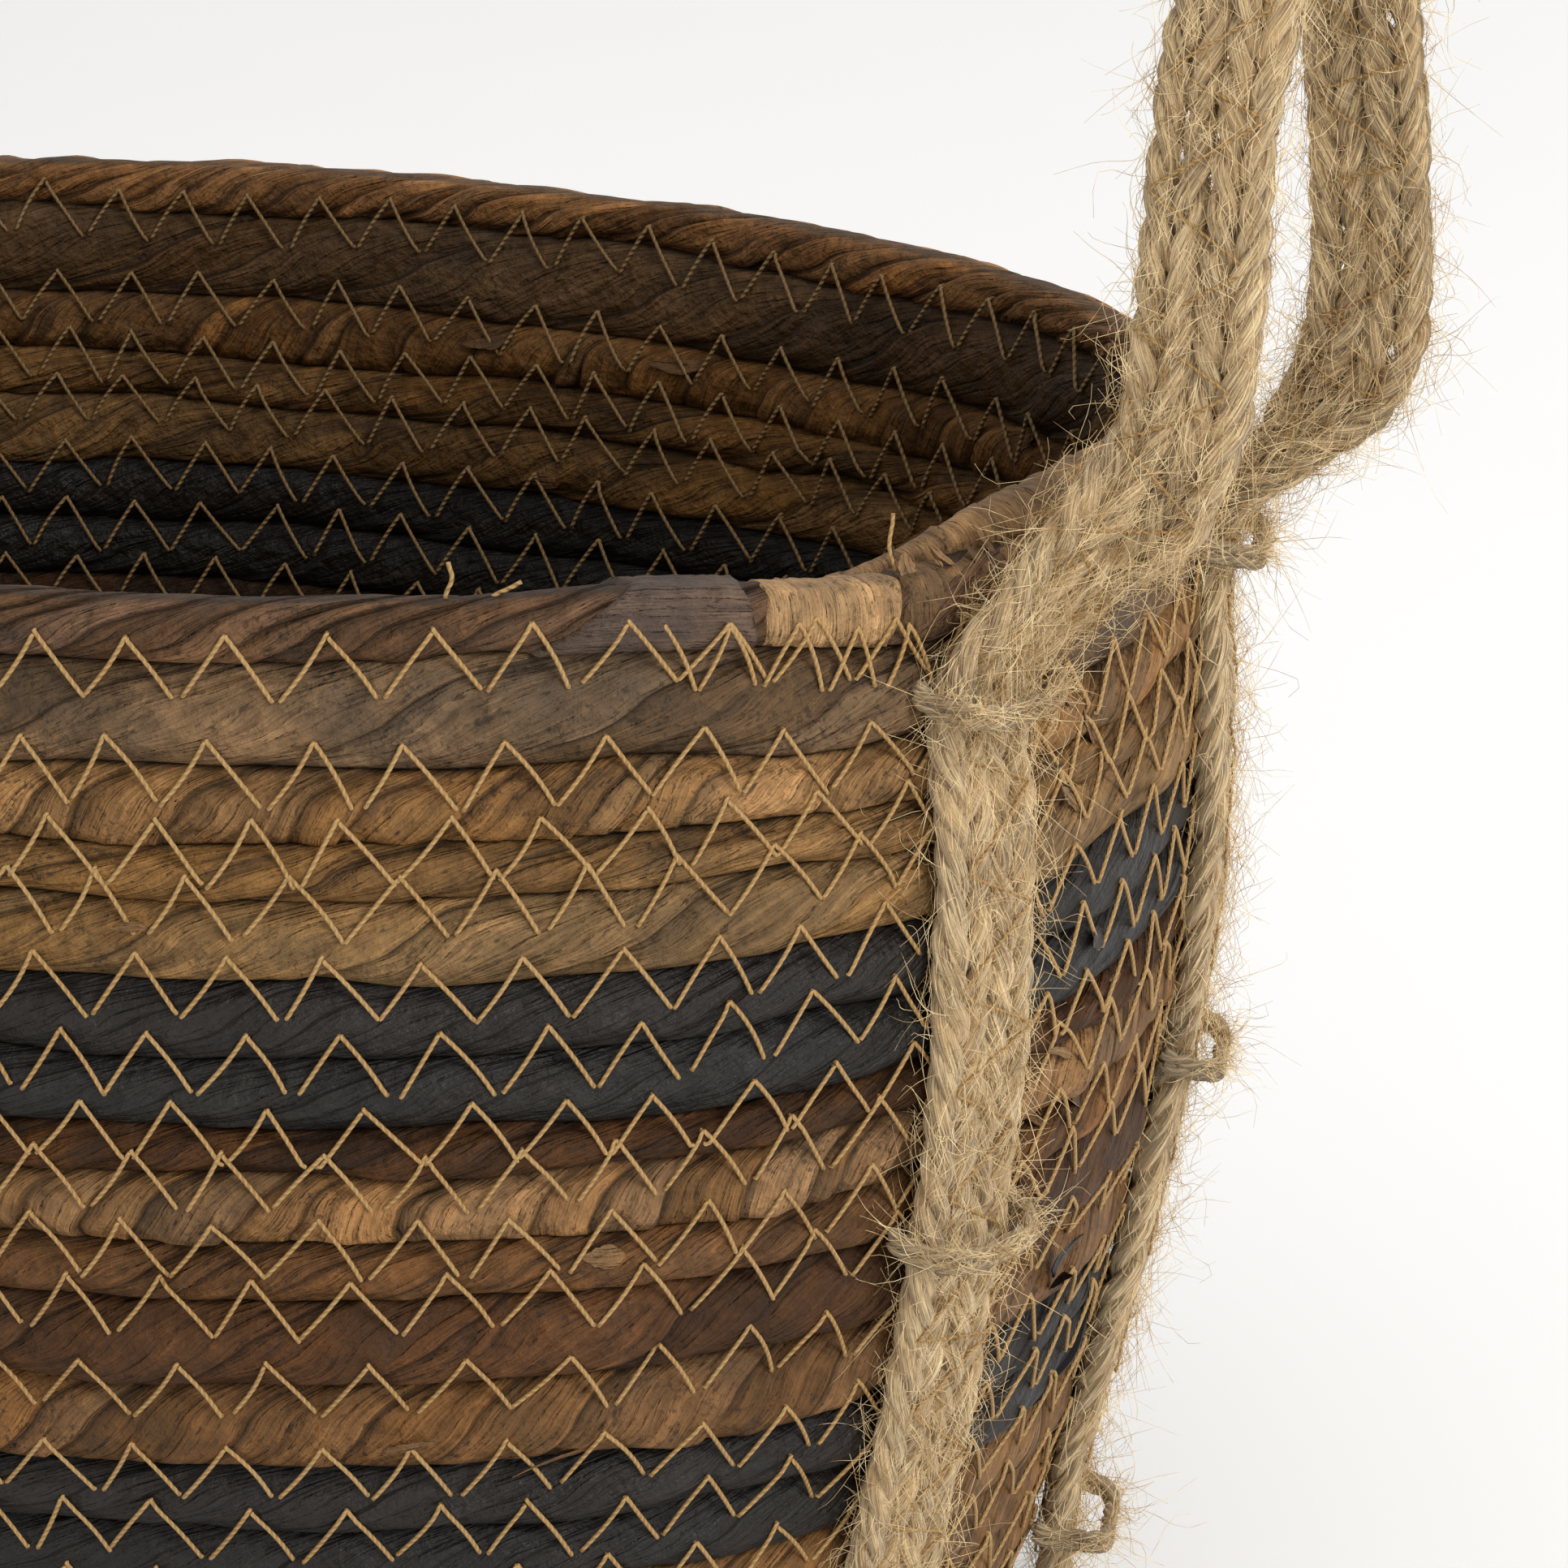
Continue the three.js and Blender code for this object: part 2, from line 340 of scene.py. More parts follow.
def jute_material():
    """Hairy jute: pale and dark fibres that run along each strand."""
    s = Shader("jute", 0.85)
    angle = s.attribute("angle")
    round_x = s.math("MULTIPLY", s.math("COSINE", angle, 0.0), 1.5)
    round_y = s.math("MULTIPLY", s.math("SINE", angle, 0.0), 1.5)
    strand = s.math("ADD", round_y, s.attribute("strand"))
    links = {0: s.attribute("run"), 1: round_x, 2: strand}
    fibre = s.node("ShaderNodeCombineXYZ", links).outputs[0]
    coarse = s.noise(s.stretched(fibre, (0.10, 1.0, 1.0)), 1.0, 3.0)
    fine = s.noise(s.stretched(fibre, (0.17, 4.2, 4.2)), 1.0, 3.0, 0.7)
    place = s.node("ShaderNodeTexCoord").outputs["Object"]
    patch = s.noise(place, 150.0, 3.0)
    dark, pale, golden = (0.22, 0.115, 0.038, 1), (1.0, 0.76, 0.41, 1), (0.74, 0.48, 0.21, 1)
    tone = s.mix(s.remap(fine, 0.39, 0.62, 0.0, 1.0), dark, pale)
    shade = s.remap(coarse, 0.3, 0.7, 0.62, 1.15)
    grey = s.node("ShaderNodeCombineXYZ", {0: shade, 1: shade, 2: shade}).outputs[0]
    tone = s.mix(1.0, tone, grey, "MULTIPLY")
    colour = s.mix(s.remap(patch, 0.45, 0.7, 0.0, 0.5), tone, golden)
    rough = s.remap(fine, 0.3, 0.7, 0.7, 0.95)
    s.shader.inputs["Sheen Weight"].default_value = 0.25
    s.shader.inputs["Sheen Roughness"].default_value = 0.6
    normal = s.bump(fine, 1.0, 0.0005, s.bump(coarse, 0.7, 0.0006))
    return s.finish(colour, rough, normal)


def fuzz_material():
    """Single jute fibres: pale, with darker stretches."""
    s = Shader("jute_fibre", 0.7)
    place = s.node("ShaderNodeTexCoord").outputs["Object"]
    patch = s.noise(place, 260.0, 2.0)
    pale, dark = (1.0, 0.79, 0.46, 1), (0.40, 0.235, 0.085, 1)
    colour = s.mix(s.remap(patch, 0.38, 0.66, 0.0, 1.0), pale, dark)
    s.shader.inputs["Specular IOR Level"].default_value = 0.3
    return s.finish(colour, s.remap(patch, 0.3, 0.7, 0.6, 0.85))


LEAF = leaf_material("natural_leaf", 0.7, (0.55, 0.62, 0.75), 0.17, 0.45, 0.7)
BLACK = leaf_material("black_leaf", 0.3, (0.8, 0.75, 0.7), 0.3, 0.36, 0.6)
THREAD = thread_material()
JUTE = jute_material()
FUZZ = fuzz_material()

# ---- coils of leaf rope ------------------------------------------------------------------

WALL_NODES = sorted(
    (n for n in frame["nodes"] if n == "rim_coil" or n.startswith("wall_coil")),
    key=lambda n: -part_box(n)[1][2],
)
FLOOR_NODES = sorted(n for n in frame["nodes"] if n.startswith("base_coil"))
OVAL_POWER = 2.19  # the plan's superellipse, as in the CAD
RIM_THICK = 8.0
WALL_THICK = 9.0
FLOOR_THICK = 9.9
FLOOR_PRESS = 0.4  # how far the floor's coils are pressed into each other, so no light passes
FLOOR_RISE = 1.7  # the floor's leaf lies this much above the CAD's underside, for the thread
RIM_TOP = 190.0  # the wall's height, as in the CAD
CUT_BELOW = -math.pi / 2  # a wall coil's strips are cut where it sits on the next coil
CUT_INSIDE = math.pi  # and a floor coil's on its inner side
STEP = 0.95  # mesh step along a coil
AROUND = 48  # mesh steps round a coil
GIRTH = 31.0  # mm round a coil's section
SECTION_POWER = 2.5  # how square a coil's section is, 2 being an ellipse

# Each wall coil from the rim down: its mean colour in linear red, green and blue, the
# spacing of its strips, how far a strip's edge runs along the coil as it crosses the
# outside, and how far the edge bows back.
WALL_STYLE = [
    ((0.128, 0.066, 0.032), 9, 24, 2),
    ((0.135, 0.077, 0.035), 30, 50, 0),
    ((0.265, 0.133, 0.045), 11, 13, 3),
    ((0.221, 0.114, 0.037), 24, 34, 1),
    ((0.239, 0.131, 0.047), 27, 36, 0),
    ((0.015, 0.012, 0.010), 13, 36, 0),
    ((0.014, 0.012, 0.010), 15, 40, 0),
    ((0.056, 0.022, 0.006), 16, 24, 1),
    ((0.243, 0.124, 0.047), 9, 10, 4),
    ((0.135, 0.060, 0.020), 18, 24, 1),
    ((0.072, 0.030, 0.010), 25, 30, 0),
    ((0.158, 0.075, 0.026), 15, 18, 2),
    ((0.015, 0.012, 0.010), 14, 38, 0),
    ((0.014, 0.012, 0.010), 15, 36, 0),
    ((0.189, 0.093, 0.032), 14, 18, 3),
    ((0.144, 0.072, 0.027), 20, 30, 0),
    ((0.207, 0.105, 0.038), 11, 14, 3),
    ((0.126, 0.059, 0.022), 22, 28, 0),
    ((0.162, 0.081, 0.031), 16, 22, 1),
]


class Line:
    """A closed line in plan by arc length, with its outward normals, counterclockwise."""

    def __init__(self, points):
        closed = np.vstack([points, points[:1]])
        self.at = np.concatenate([[0], np.linalg.norm(np.diff(closed, axis=0), axis=1).cumsum()])
        self.length = self.at[-1]
        tangent = unit(np.roll(points, -4, 0) - np.roll(points, 4, 0))
        normal = np.stack([tangent[:, 1], -tangent[:, 0]], 1)
        self.points, self.normals = closed, np.vstack([normal, normal[:1]])

    def sample(self, s):
        s = np.mod(s, self.length)
        place = [np.interp(s, self.at, self.points[:, i]) for i in (0, 1)]
        normal = [np.interp(s, self.at, self.normals[:, i]) for i in (0, 1)]
        return np.stack(place, -1), unit(np.stack(normal, -1))


def oval(half_length, half_width, straight_power=None, ends=0.0, round_power=2 / OVAL_POWER):
    """An oval's points. With ends, part of its half length is a straight stretch."""
    angle = np.arange(2880) / 2880 * 2 * math.pi
    cos, sin = np.cos(angle), np.sin(angle)
    x = (half_length - ends) * signed_power(cos, round_power)
    if ends:
        x = x + ends * signed_power(cos, straight_power)
    return np.stack([x, half_width * signed_power(sin, round_power)], 1)


class Coil:
    """One turn of leaf rope: where it runs, its section, and its twisted strips. The mesh's
    rows lie along the strips' edges, which lean by shear rows in one turn of the section."""

    def __init__(self, line, half_out, bottom, top, style, seed, cut, dyed=False):
        colour, spacing, lean, self.bow = style
        self.line, self.half_out, self.bottom, self.top = line, half_out, bottom, top
        self.cut, self.seed, self.dyed = cut, seed, dyed
        self.painted_back_light = (1.0, 1.0, 1.0)  # painted light: raises the leaf's colour at the back, relative to the front
        rng = np.random.default_rng(seed)
        self.steps = int(line.length / STEP)
        self.step = line.length / self.steps
        self.shear = round(2 * lean / self.step)
        self.strips = max(3, round(line.length / spacing))
        edges = np.arange(self.strips) + rng.uniform(-0.38, 0.38, self.strips)
        edges = np.round(edges * self.steps / self.strips)
        self.edges = np.concatenate([edges[-1:] - self.steps, edges, edges[:1] + self.steps])
        self.lift = rng.uniform(-0.5, 0.5, self.strips + 2)
        self.lift[-2:] = self.lift[:2]
        bright = rng.uniform(0.68, 1.42, (self.strips + 2, 1)) if not dyed else 1.0
        warm = rng.uniform(-1, 1, (self.strips + 2, 1)) * np.array([0.04, -0.02, -0.16])
        self.tints = np.array(colour) * bright * (1 + warm * (0.3 if dyed else 1.0))
        self.tints[-2:] = self.tints[:2]
        self.warp = Ripple(rng, 80, 3)
        self.folds = Ripple(rng, 512, 128)
        self.bulk = Ripple(rng, 46, 3)
        self.knots = Ripple(rng, 150, 4)

    def wander(self, s, turn):
        """How far a strip's edge strays along the coil, in mm."""
        stray = 1.9 * self.warp(s / self.line.length * 80, turn * 3)
        return stray - self.bow * np.sin(2 * math.pi * turn)

    def skin(self, s, turn):
        """The standoff in mm, the painted shade in the creases and at the strips' edges, the strip and
        the fibre's own coordinates, at a place in the coil's mesh."""
        row = np.mod(s / self.step - self.shear * turn, self.steps)
        index = np.clip(np.searchsorted(self.edges, row + 0.01, side="right") - 1, 0, self.strips)
        low, high = self.edges[index], self.edges[index + 1]
        t = np.clip((row - low) / (high - low), 0, 1)
        slope = np.array([self.shear * self.step, GIRTH])
        slope = slope / np.linalg.norm(slope)
        along = s * slope[0] + turn * GIRTH * slope[1]
        across = (s * slope[1] - turn * GIRTH * slope[0]) + 0.5 * self.folds(s * 0.05, turn * 4)
        fold = self.folds(along * 0.04 + index * 5.3, across * 0.3)
        crinkle = self.folds(along * 0.09 + index * 2.1, across * 0.95 + 31)
        valley = np.exp(-((fold - 0.1) / 0.10) ** 2)
        width = (high - low) * self.step
        lap = 0.75 * t**0.8 + 0.3 * np.sin(math.pi * t) - 0.35
        height = lap * (0.35 if self.dyed else 1.0) + 0.5 * self.lift[index]
        crumple = np.abs(self.folds(along * 0.11 + index * 1.7, across * 0.21 + 60))
        height = height + 0.4 * fold + 0.17 * crinkle - 0.22 * valley - 0.35 * crumple
        height = height * (0.8 if self.dyed else 1.0)
        height = height + 0.6 * self.bulk(s / self.line.length * 46, turn * 3)
        height = height + 0.35 * self.knots(s / self.line.length * 150, turn * 4)
        # Painted shade: the crease value darkens each strip just past its edge, where it lies below
        # the raised edge of the strip before, and in the fold valleys.
        crease_shade = np.exp(-t * width / 0.9) * (0.4 if self.dyed else 0.95)
        crease_shade = np.maximum(crease_shade, 0.55 * valley * np.abs(self.folds(along * 0.03, across * 0.2)) * 2)
        fibre = np.stack([along, across, index * 3.7 + self.seed], -1)
        return height - 0.35, np.clip(crease_shade, 0, 1), index, fibre

    def turn_of(self, phi):
        return np.mod(phi - self.cut, 2 * math.pi) / (2 * math.pi)

    def at(self, s, phi, off=0.0, taper=1.0):
        """Points on the surface, off mm further out."""
        turn = self.turn_of(phi)
        swell = self.skin(s - self.wander(s, turn), turn)[0]
        return self.place(s, phi, swell * np.minimum(taper, 1) + off, taper)

    def place(self, s, phi, standoff, taper=1.0):
        place, normal = self.line.sample(s)
        share = s / self.line.length
        bottom, top = self.bottom(share), self.top(share)
        half_up, middle = (top - bottom) / 2 * taper, (top + bottom) / 2
        half_out = self.half_out * taper + 0 * half_up
        cos, sin = np.cos(phi), np.sin(phi)
        out = half_out * signed_power(cos, 2 / SECTION_POWER)
        up = half_up * signed_power(sin, 2 / SECTION_POWER)
        slope = unit(np.stack(np.broadcast_arrays(cos / half_out, sin / half_up), -1))
        free = 1 - 0.75 * smooth(np.abs(self.contact(phi)), 0.8, 1.0)
        out = out + standoff * slope[..., 0] * free
        up = up + standoff * slope[..., 1] * free
        points = np.empty(np.broadcast(s, phi).shape + (3,))
        points[..., :2] = place + normal * out[..., None]
        points[..., 2] = middle + up
        return points

    def contact(self, phi):
        """1 where the coil touches its neighbours, and 0 midway between."""
        return np.sin(phi) if self.cut == CUT_BELOW else np.cos(phi)

    def angle_at(self, height, limit=0.985):
        """The section angle on the outside at a height from the middle, 1 being the top."""
        height = np.clip(height, -limit, limit)
        return np.arcsin(signed_power(height, SECTION_POWER / 2))

    def build(self, name, material):
        turn = ((np.arange(AROUND) + 0.5) / AROUND)[None]
        s = (np.arange(self.steps)[:, None] + self.shear * turn) * self.step
        phi = self.cut + turn * 2 * math.pi + 0 * s
        turn = turn + 0 * s
        swell, crease_shade, index, fibre = self.skin(s, turn)
        points = self.place(s + self.wander(s, turn), phi, swell)
        # Painted shade: the groove value darkens the leaf where the coil meets its neighbours, and
        # goes into the crease shade below.
        groove_shade = smooth(np.abs(self.contact(phi)), 0.86, 1.0)
        # Painted shade: the wall coils' inner faces are darkened by up to 42 percent in red and more
        # in green and blue, and the floor coils all over by 30 percent and more, where the basket's
        # inside lies in shade.
        painted_inside_shade = 0.42 * smooth(-np.cos(phi), -0.2, 0.8) if self.cut == CUT_BELOW else 0.3 + 0 * phi
        tint = self.tints[index] * (1 - painted_inside_shade[..., None] * np.array([1.0, 1.15, 1.35]))
        # Painted light: the back half of each coil is brightened by its back factor, which only the
        # rim sets, to light up the far rim.
        behind = smooth(np.sin(2 * math.pi * s / self.line.length), -0.1, 0.5)[..., None]
        tint = tint * (1 + behind * (np.array(self.painted_back_light) - 1))
        attributes = {
            "tint": tint.reshape(-1, 3),
            "fibre": fibre.reshape(-1, 3),
            "crease_shade": np.maximum(crease_shade, groove_shade).ravel(),
        }
        i, j = np.meshgrid(np.arange(self.steps), np.arange(AROUND), indexing="ij")
        over = (i + self.shear * (j == AROUND - 1)) % self.steps
        i1, j1 = (i + 1) % self.steps, (j + 1) % AROUND
        over1 = (over + 1) % self.steps
        corners = [i * AROUND + j, i1 * AROUND + j, over1 * AROUND + j1, over * AROUND + j1]
        faces = [np.stack(corners, -1).reshape(-1, 4)]
        return make_object(name, points.reshape(-1, 3), faces, attributes, material)


def wavy(level, wave, amount, dip=None):
    """A coil's edge at a level, wandering a little, with an optional dip near the front
    right where the tail of the rope lies over the rim."""

    def edge(share):
        z = level + amount * wave(share * 40, 0 * share)
        return z if dip is None else z - dip * over_tail(share)

    return edge


def over_tail(share):
    """1 along the stretch of the rim under the rope's tail, and 0 well away from it."""
    share = np.mod(share + 0.5, 1.0) - 0.5
    return smooth(share, -0.105, -0.055) * (1 - smooth(share, -0.01, 0.09))


def wall_coils():
    """The coils of the wall from the rim down. Neighbours share a gently wavy boundary."""
    coils = []
    rng = np.random.default_rng(11)
    waves = [Ripple(rng, 40, 1) for _ in range(len(WALL_NODES) + 1)]
    dips = {0: 3.6, 1: 5.0, 2: 3.4, 3: 2.0, 4: 1.0}  # mm, by edge from the rim down
    for i, node in enumerate(WALL_NODES):
        low, high = (np.array(c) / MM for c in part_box(node))
        thick = RIM_THICK if node == "rim_coil" else WALL_THICK
        size = (high - low) / 2 - thick / 2
        calm_top = 0.15 if i == 0 else 0.8
        calm_bottom = 0.0 if i == len(WALL_NODES) - 1 else 0.8
        upper = wavy(high[2] + 0.4 * (i > 0), waves[i], calm_top, dips.get(i))
        lower = wavy(low[2] - 0.4 * (calm_bottom > 0), waves[i + 1], calm_bottom, dips.get(i + 1))
        dyed = node.endswith("black")
        line = Line(oval(size[0], size[1]))
        coils.append(Coil(line, thick / 2, lower, upper, WALL_STYLE[i], 100 + i, CUT_BELOW, dyed))
    return coils


def level_edge(z):
    return lambda share: z + 0 * share


def floor_coils():
    """The coils of the floor from the wall inwards."""
    coils = []
    for i, node in enumerate(FLOOR_NODES):
        low, high = (np.array(c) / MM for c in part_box(node))
        half = (high - low) / 2
        share = (i + 0.5) / (len(FLOOR_NODES) + 0.5)
        round_power = 2 / OVAL_POWER + (1 - 2 / OVAL_POWER) * share
        straight_power = 2 / OVAL_POWER + (0.15 - 2 / OVAL_POWER) * share
        size = half[:2] - FLOOR_THICK / 2
        middle = oval(*size, straight_power, half[0] - half[1], round_power)
        bottom, top = level_edge(low[2] + FLOOR_RISE), level_edge(high[2])
        style = WALL_STYLE[14 + i % 5]
        half_out = FLOOR_THICK / 2 + FLOOR_PRESS
        coils.append(Coil(Line(middle), half_out, bottom, top, style, 200 + i, CUT_INSIDE))
    return coils


wall = wall_coils()
wall[0].painted_back_light = (2.8, 2.7, 2.1)  # painted light: the rim is brightened at the back
floor = floor_coils()
for coil, node in zip(wall + floor, WALL_NODES + FLOOR_NODES, strict=True):
    piece = coil.build("leaf_" + node, BLACK if coil.dyed else LEAF)
    ride(piece, [node])


def middle_strip():
    """The straight start of the coil, in the middle of the floor."""
    low, high = (np.array(c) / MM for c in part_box("base_middle_strip"))
    half = (high - low) / 2
    steps, sides, overlap = 80, 24, 4.5
    line = np.zeros((1, steps, 3))
    line[0, :, 0] = np.linspace(-half[0] - overlap, half[0] + overlap, steps)
    line[0, :, 2] = half[2]
    end = np.abs(np.linspace(-1, 1, steps))
    taper = np.sqrt(np.clip(1 - (np.maximum(end - 0.9, 0) / 0.105) ** 2, 0.05, 1))
    up = np.broadcast_to(np.array([0.0, 0, 1]), line.shape)
    twist = Ripple(np.random.default_rng(7), 40, 8)
    across = (half[1] + 2 * FLOOR_PRESS) * taper
    points, faces, angle, run = sweep(line, up, across, half[2] * taper, sides)
    shape = points.reshape(steps, sides, 3)
    centre = shape.mean(1, keepdims=True)
    turn = angle.reshape(steps, sides)
    wave = 1 + 0.05 * twist(run.reshape(steps, sides) / 4 + turn, turn)
    points = (centre + (shape - centre) * wave[..., None] * 0.93).reshape(-1, 3)
    fibre = np.stack([run, angle * 4, 0 * run], -1)
    tint = np.tile(WALL_STYLE[-1][0], (len(points), 1))
    attributes = {"tint": tint, "fibre": fibre, "crease_shade": 0 * run}
    piece = make_object("leaf_base_middle_strip", points, faces, attributes, LEAF)
    ride(piece, ["base_middle_strip"])


middle_strip()


def sleeve(name, start, stop, off, colour, seed, broad):
    """A smooth leaf wrapped round a stretch of the rim."""
    rim = wall[0]
    rng = np.random.default_rng(seed)
    steps, sides = int((stop - start) / 0.7), 48
    fold = Ripple(rng, 64, 64)
    s = np.linspace(start, stop, steps)[:, None]
    turn = ((np.arange(sides) + 0.5) / sides)[None] + 0 * s
    ragged = 1.6 * fold(turn * 7 + 3, 0 * turn) * (s - start) / (stop - start)
    slant = (7.0 if broad else 0.8) * (1 - (s - start) / (stop - start))
    s = s + ragged - slant * np.cos(2 * math.pi * turn)
    phi = rim.cut + turn * 2 * math.pi
    ripple = 0.16 * fold(s * 0.9, turn * 6) + 0.12 * fold(s * 2.3 + 5, turn * 9)
    end = np.minimum(np.arange(steps), steps - 1 - np.arange(steps))[:, None]
    standoff = off - 0.05 + ripple - 1.6 * (1 - smooth(end, -1, 1))
    points = rim.place(s, phi, standoff)
    fibre = np.stack([turn * GIRTH, s, 0 * s + seed], -1)
    if broad:
        fibre = np.stack([s + turn * 12, turn * GIRTH, 0 * s + seed], -1)
    # Painted shade: the sleeve is darkened by up to 45 percent on the basket's inside.
    sleeve_inside_shade = 0.45 * smooth(-np.cos(phi), 0.1, 0.8)[..., None]
    attributes = {
        "tint": (np.array(colour) * (1 - sleeve_inside_shade)).reshape(-1, 3),
        "fibre": fibre.reshape(-1, 3),
        # Painted shade: the crease value darkens the sleeve's two ends, where they tuck down to the
        # rim.
        "crease_shade": np.clip(0.25 * (1 - end / 2.0), 0, 1).repeat(sides, 1).ravel(),
    }
    count = steps * sides
    faces = [
        tube_quads(steps, sides),
        np.arange(sides)[None],
        np.arange(count - sides, count)[::-1][None],
    ]
    piece = make_object(name, points.reshape(-1, 3), faces, attributes, LEAF)
    ride(piece)


# Wraps by their start, end and standoff along the rim, in mm from the middle of the right
# end, where the front is negative.
WRAPS = [(-94, -71.5, 1.0), (-70.5, -51, 0.55), (-50.2, -17, 0.35)]
sleeve("rim_wrap_grey", *WRAPS[0], (0.112, 0.072, 0.050), 31, True)
sleeve("rim_wrap_pale", *WRAPS[1], (0.40, 0.235, 0.105), 32, False)
sleeve("rim_wrap_frayed", *WRAPS[2], (0.20, 0.110, 0.047), 33, False)


def wrap_lift(share):
    """How far the wraps lift a stitch that crosses them."""
    s = (np.mod(share + 0.5, 1.0) - 0.5) * wall[0].line.length
    lifts = []
    for start, stop, off in WRAPS:
        lifts.append(off * smooth(s, start - 5, start) * (1 - smooth(s, stop, stop + 3)))
    return np.max(lifts, axis=0)


TAIL_STRIP = 8.5  # the spacing of the strips in the rope's tail


def rim_tail():
    """The rope's tapered end, lying over the inner top of the rim at the front right."""
    rim = wall[0]
    steps, sides = 150, 40
    s = np.linspace(-57, 34, steps)
    grow = smooth(s, -60, -20)
    sink = smooth(s, 2, 34)
    place, normal = rim.line.sample(s)
    line = np.empty((1, steps, 3))
    line[0, :, :2] = place - normal * (3.6 * (1 - sink) + 0.4)[:, None]
    line[0, :, 2] = RIM_TOP - 5.1 + 2.0 * grow - 2.2 * sink
    up = np.broadcast_to(np.array([0.0, 0, 1]), line.shape)
    size = 1.2 + 2.9 * grow - 0.5 * sink
    size[0] = 0.3
    points, faces, angle, run = sweep(line, up, size * 1.05, size * 0.95, sides)
    rng = np.random.default_rng(41)
    fold = Ripple(rng, 128, 64)
    shape = points.reshape(steps, sides, 3)
    centre = shape.mean(1, keepdims=True)
    turn = angle.reshape(steps, sides) / (2 * math.pi)
    along = run.reshape(steps, sides)
    row = (along - 9.0 * turn) / TAIL_STRIP
    t = row - np.floor(row)
    wave = 0.93 + 0.12 * t + 0.05 * fold(along * 0.3, turn * 9) + 0.04 * fold(along * 0.9, turn * 3)
    points = (centre + (shape - centre) * wave[..., None]).reshape(-1, 3)
    shade = np.random.default_rng(42).uniform(0.75, 1.3, 64)[np.mod(np.floor(row).astype(int), 64)]
    tint = np.array([0.215, 0.120, 0.050]) * shade[..., None]
    attributes = {
        "tint": tint.reshape(-1, 3),
        "fibre": np.stack([turn * 24, along, np.floor(row)], -1).reshape(-1, 3),
        # Painted shade: the crease value darkens the start of each of the tail's strips, beside the
        # strip before.
        "crease_shade": np.exp(-t * TAIL_STRIP / 0.6).ravel(),
    }
    piece = make_object("rim_tail", points, faces, attributes, LEAF)
    ride(piece)


rim_tail()

# ---- zigzag stitching --------------------------------------------------------------------

STITCH = 12.0  # one zigzag
REACH = 4.2  # from the seam to a stitch's end
THREAD_RADIUS = 0.31
STROKE_STEPS = 15


class Zigzag:
    """One row of zigzag stitches over the seam between two coils."""

    def __init__(self, upper, lower, seed, span=(0.0, 1.0), pitch=STITCH, reach=REACH, shift=0.0):
        start, stop = span
        self.upper, self.lower, self.shift = upper, lower, shift
        rng = np.random.default_rng(seed)
        length = upper.line.length * (stop - start)
        count = int(round(length / pitch))
        first = start + rng.uniform(0, pitch) / upper.line.length
        index = np.arange(count + 1) + rng.uniform(-0.08, 0.08, count + 1)
        top = first + index * (stop - start) / count
        if stop - start > 0.99:
            top[-1] = top[0] + 1
        low = (top[:-1] + top[1:]) / 2 + rng.uniform(-0.06, 0.06, count) * pitch / upper.line.length
        gap = rng.uniform(0.0, 1.7, count) / upper.line.length
        high_gap = 0.05 / upper.line.length
        falling = np.stack([top[:-1] + high_gap, low - gap / 2], 1)
        rising = np.stack([top[1:] - high_gap, low + gap / 2], 1)
        self.strokes = np.vstack([falling, rising])
        self.down = np.concatenate([[0], np.linspace(0.015, 0.985, STROKE_STEPS - 2), [1]])
        curve = 0.5 * np.sin(math.pi * self.down) * rng.uniform(-0.2, 1.0, (2 * count, 1))
        share = self.strokes[:, :1] * (1 - self.down) + self.strokes[:, 1:] * self.down
        self.share = share + curve / upper.line.length
        self.reach = reach * rng.uniform(0.88, 1.08, (2, len(self.strokes), 1))
        self.deep = np.where((self.down == 0) | (self.down == 1), -0.8, THREAD_RADIUS * 0.9)

    def wall_strokes(self, inside):
        """The strokes' paths on the wall, pulled tight over the coils."""
        seam = self.upper.bottom(self.share) - self.shift
        z = seam + self.reach[0] * (1 - self.down) - self.reach[1] * self.down
        room = seam + self.shift - self.lower.bottom(self.share)
        headroom = self.upper.top(self.share) - seam - self.shift
        z = np.clip(z, seam - 0.62 * room, seam + 0.62 * headroom)
        over = z >= seam
        paths = []
        for coil in (self.upper, self.lower):
            bottom, top = coil.bottom(self.share), coil.top(self.share)
            phi = coil.angle_at((2 * z - top - bottom) / (top - bottom))
            phi = math.pi - phi if inside else phi
            lift = wrap_lift(self.share) if coil is wall[0] and not inside else 0 * self.share
            paths.append(coil.at(self.share * coil.line.length, phi, self.deep + lift))
        path = np.where(over[..., None], paths[0], paths[1])
        place, normal = self.upper.line.sample(self.share * self.upper.line.length)
        side = -1 if inside else 1
        out = ((path[..., :2] - place) * normal).sum(-1) * side
        out[:, 1:-1] = stretched_over(out[:, 1:-1])
        path = np.concatenate([place + normal * (out * side)[..., None], z[..., None]], -1)
        return path, np.concatenate([normal, 0 * normal[..., :1]], -1) * side

    def floor_strokes(self, below):
        """The strokes' paths on the floor, from the outer coil to the inner one."""
        sign = -1 if below else 1
        inner_share = nearest_share(self.lower.line, self.upper.line, self.share)
        cross = self.reach[0] * (1 - self.down) - self.reach[1] * self.down
        half = self.upper.half_out
        phi_a = math.pi / 2 + self.upper.angle_at(1 - cross / half, 0.95)
        phi_b = math.pi / 2 - self.upper.angle_at(1 + cross / half, 0.95)
        deep = self.deep + 0 * cross
        on_outer = self.upper.at(self.share * self.upper.line.length, sign * phi_a, deep)
        on_inner = self.lower.at(inner_share * self.lower.line.length, sign * phi_b, deep)
        path = np.where((cross >= 0)[..., None], on_outer, on_inner)
        path[:, 1:-1, 2] = sign * stretched_over(sign * path[:, 1:-1, 2])
        ups = np.zeros_like(path)
        ups[..., 2] = sign
        return path, ups


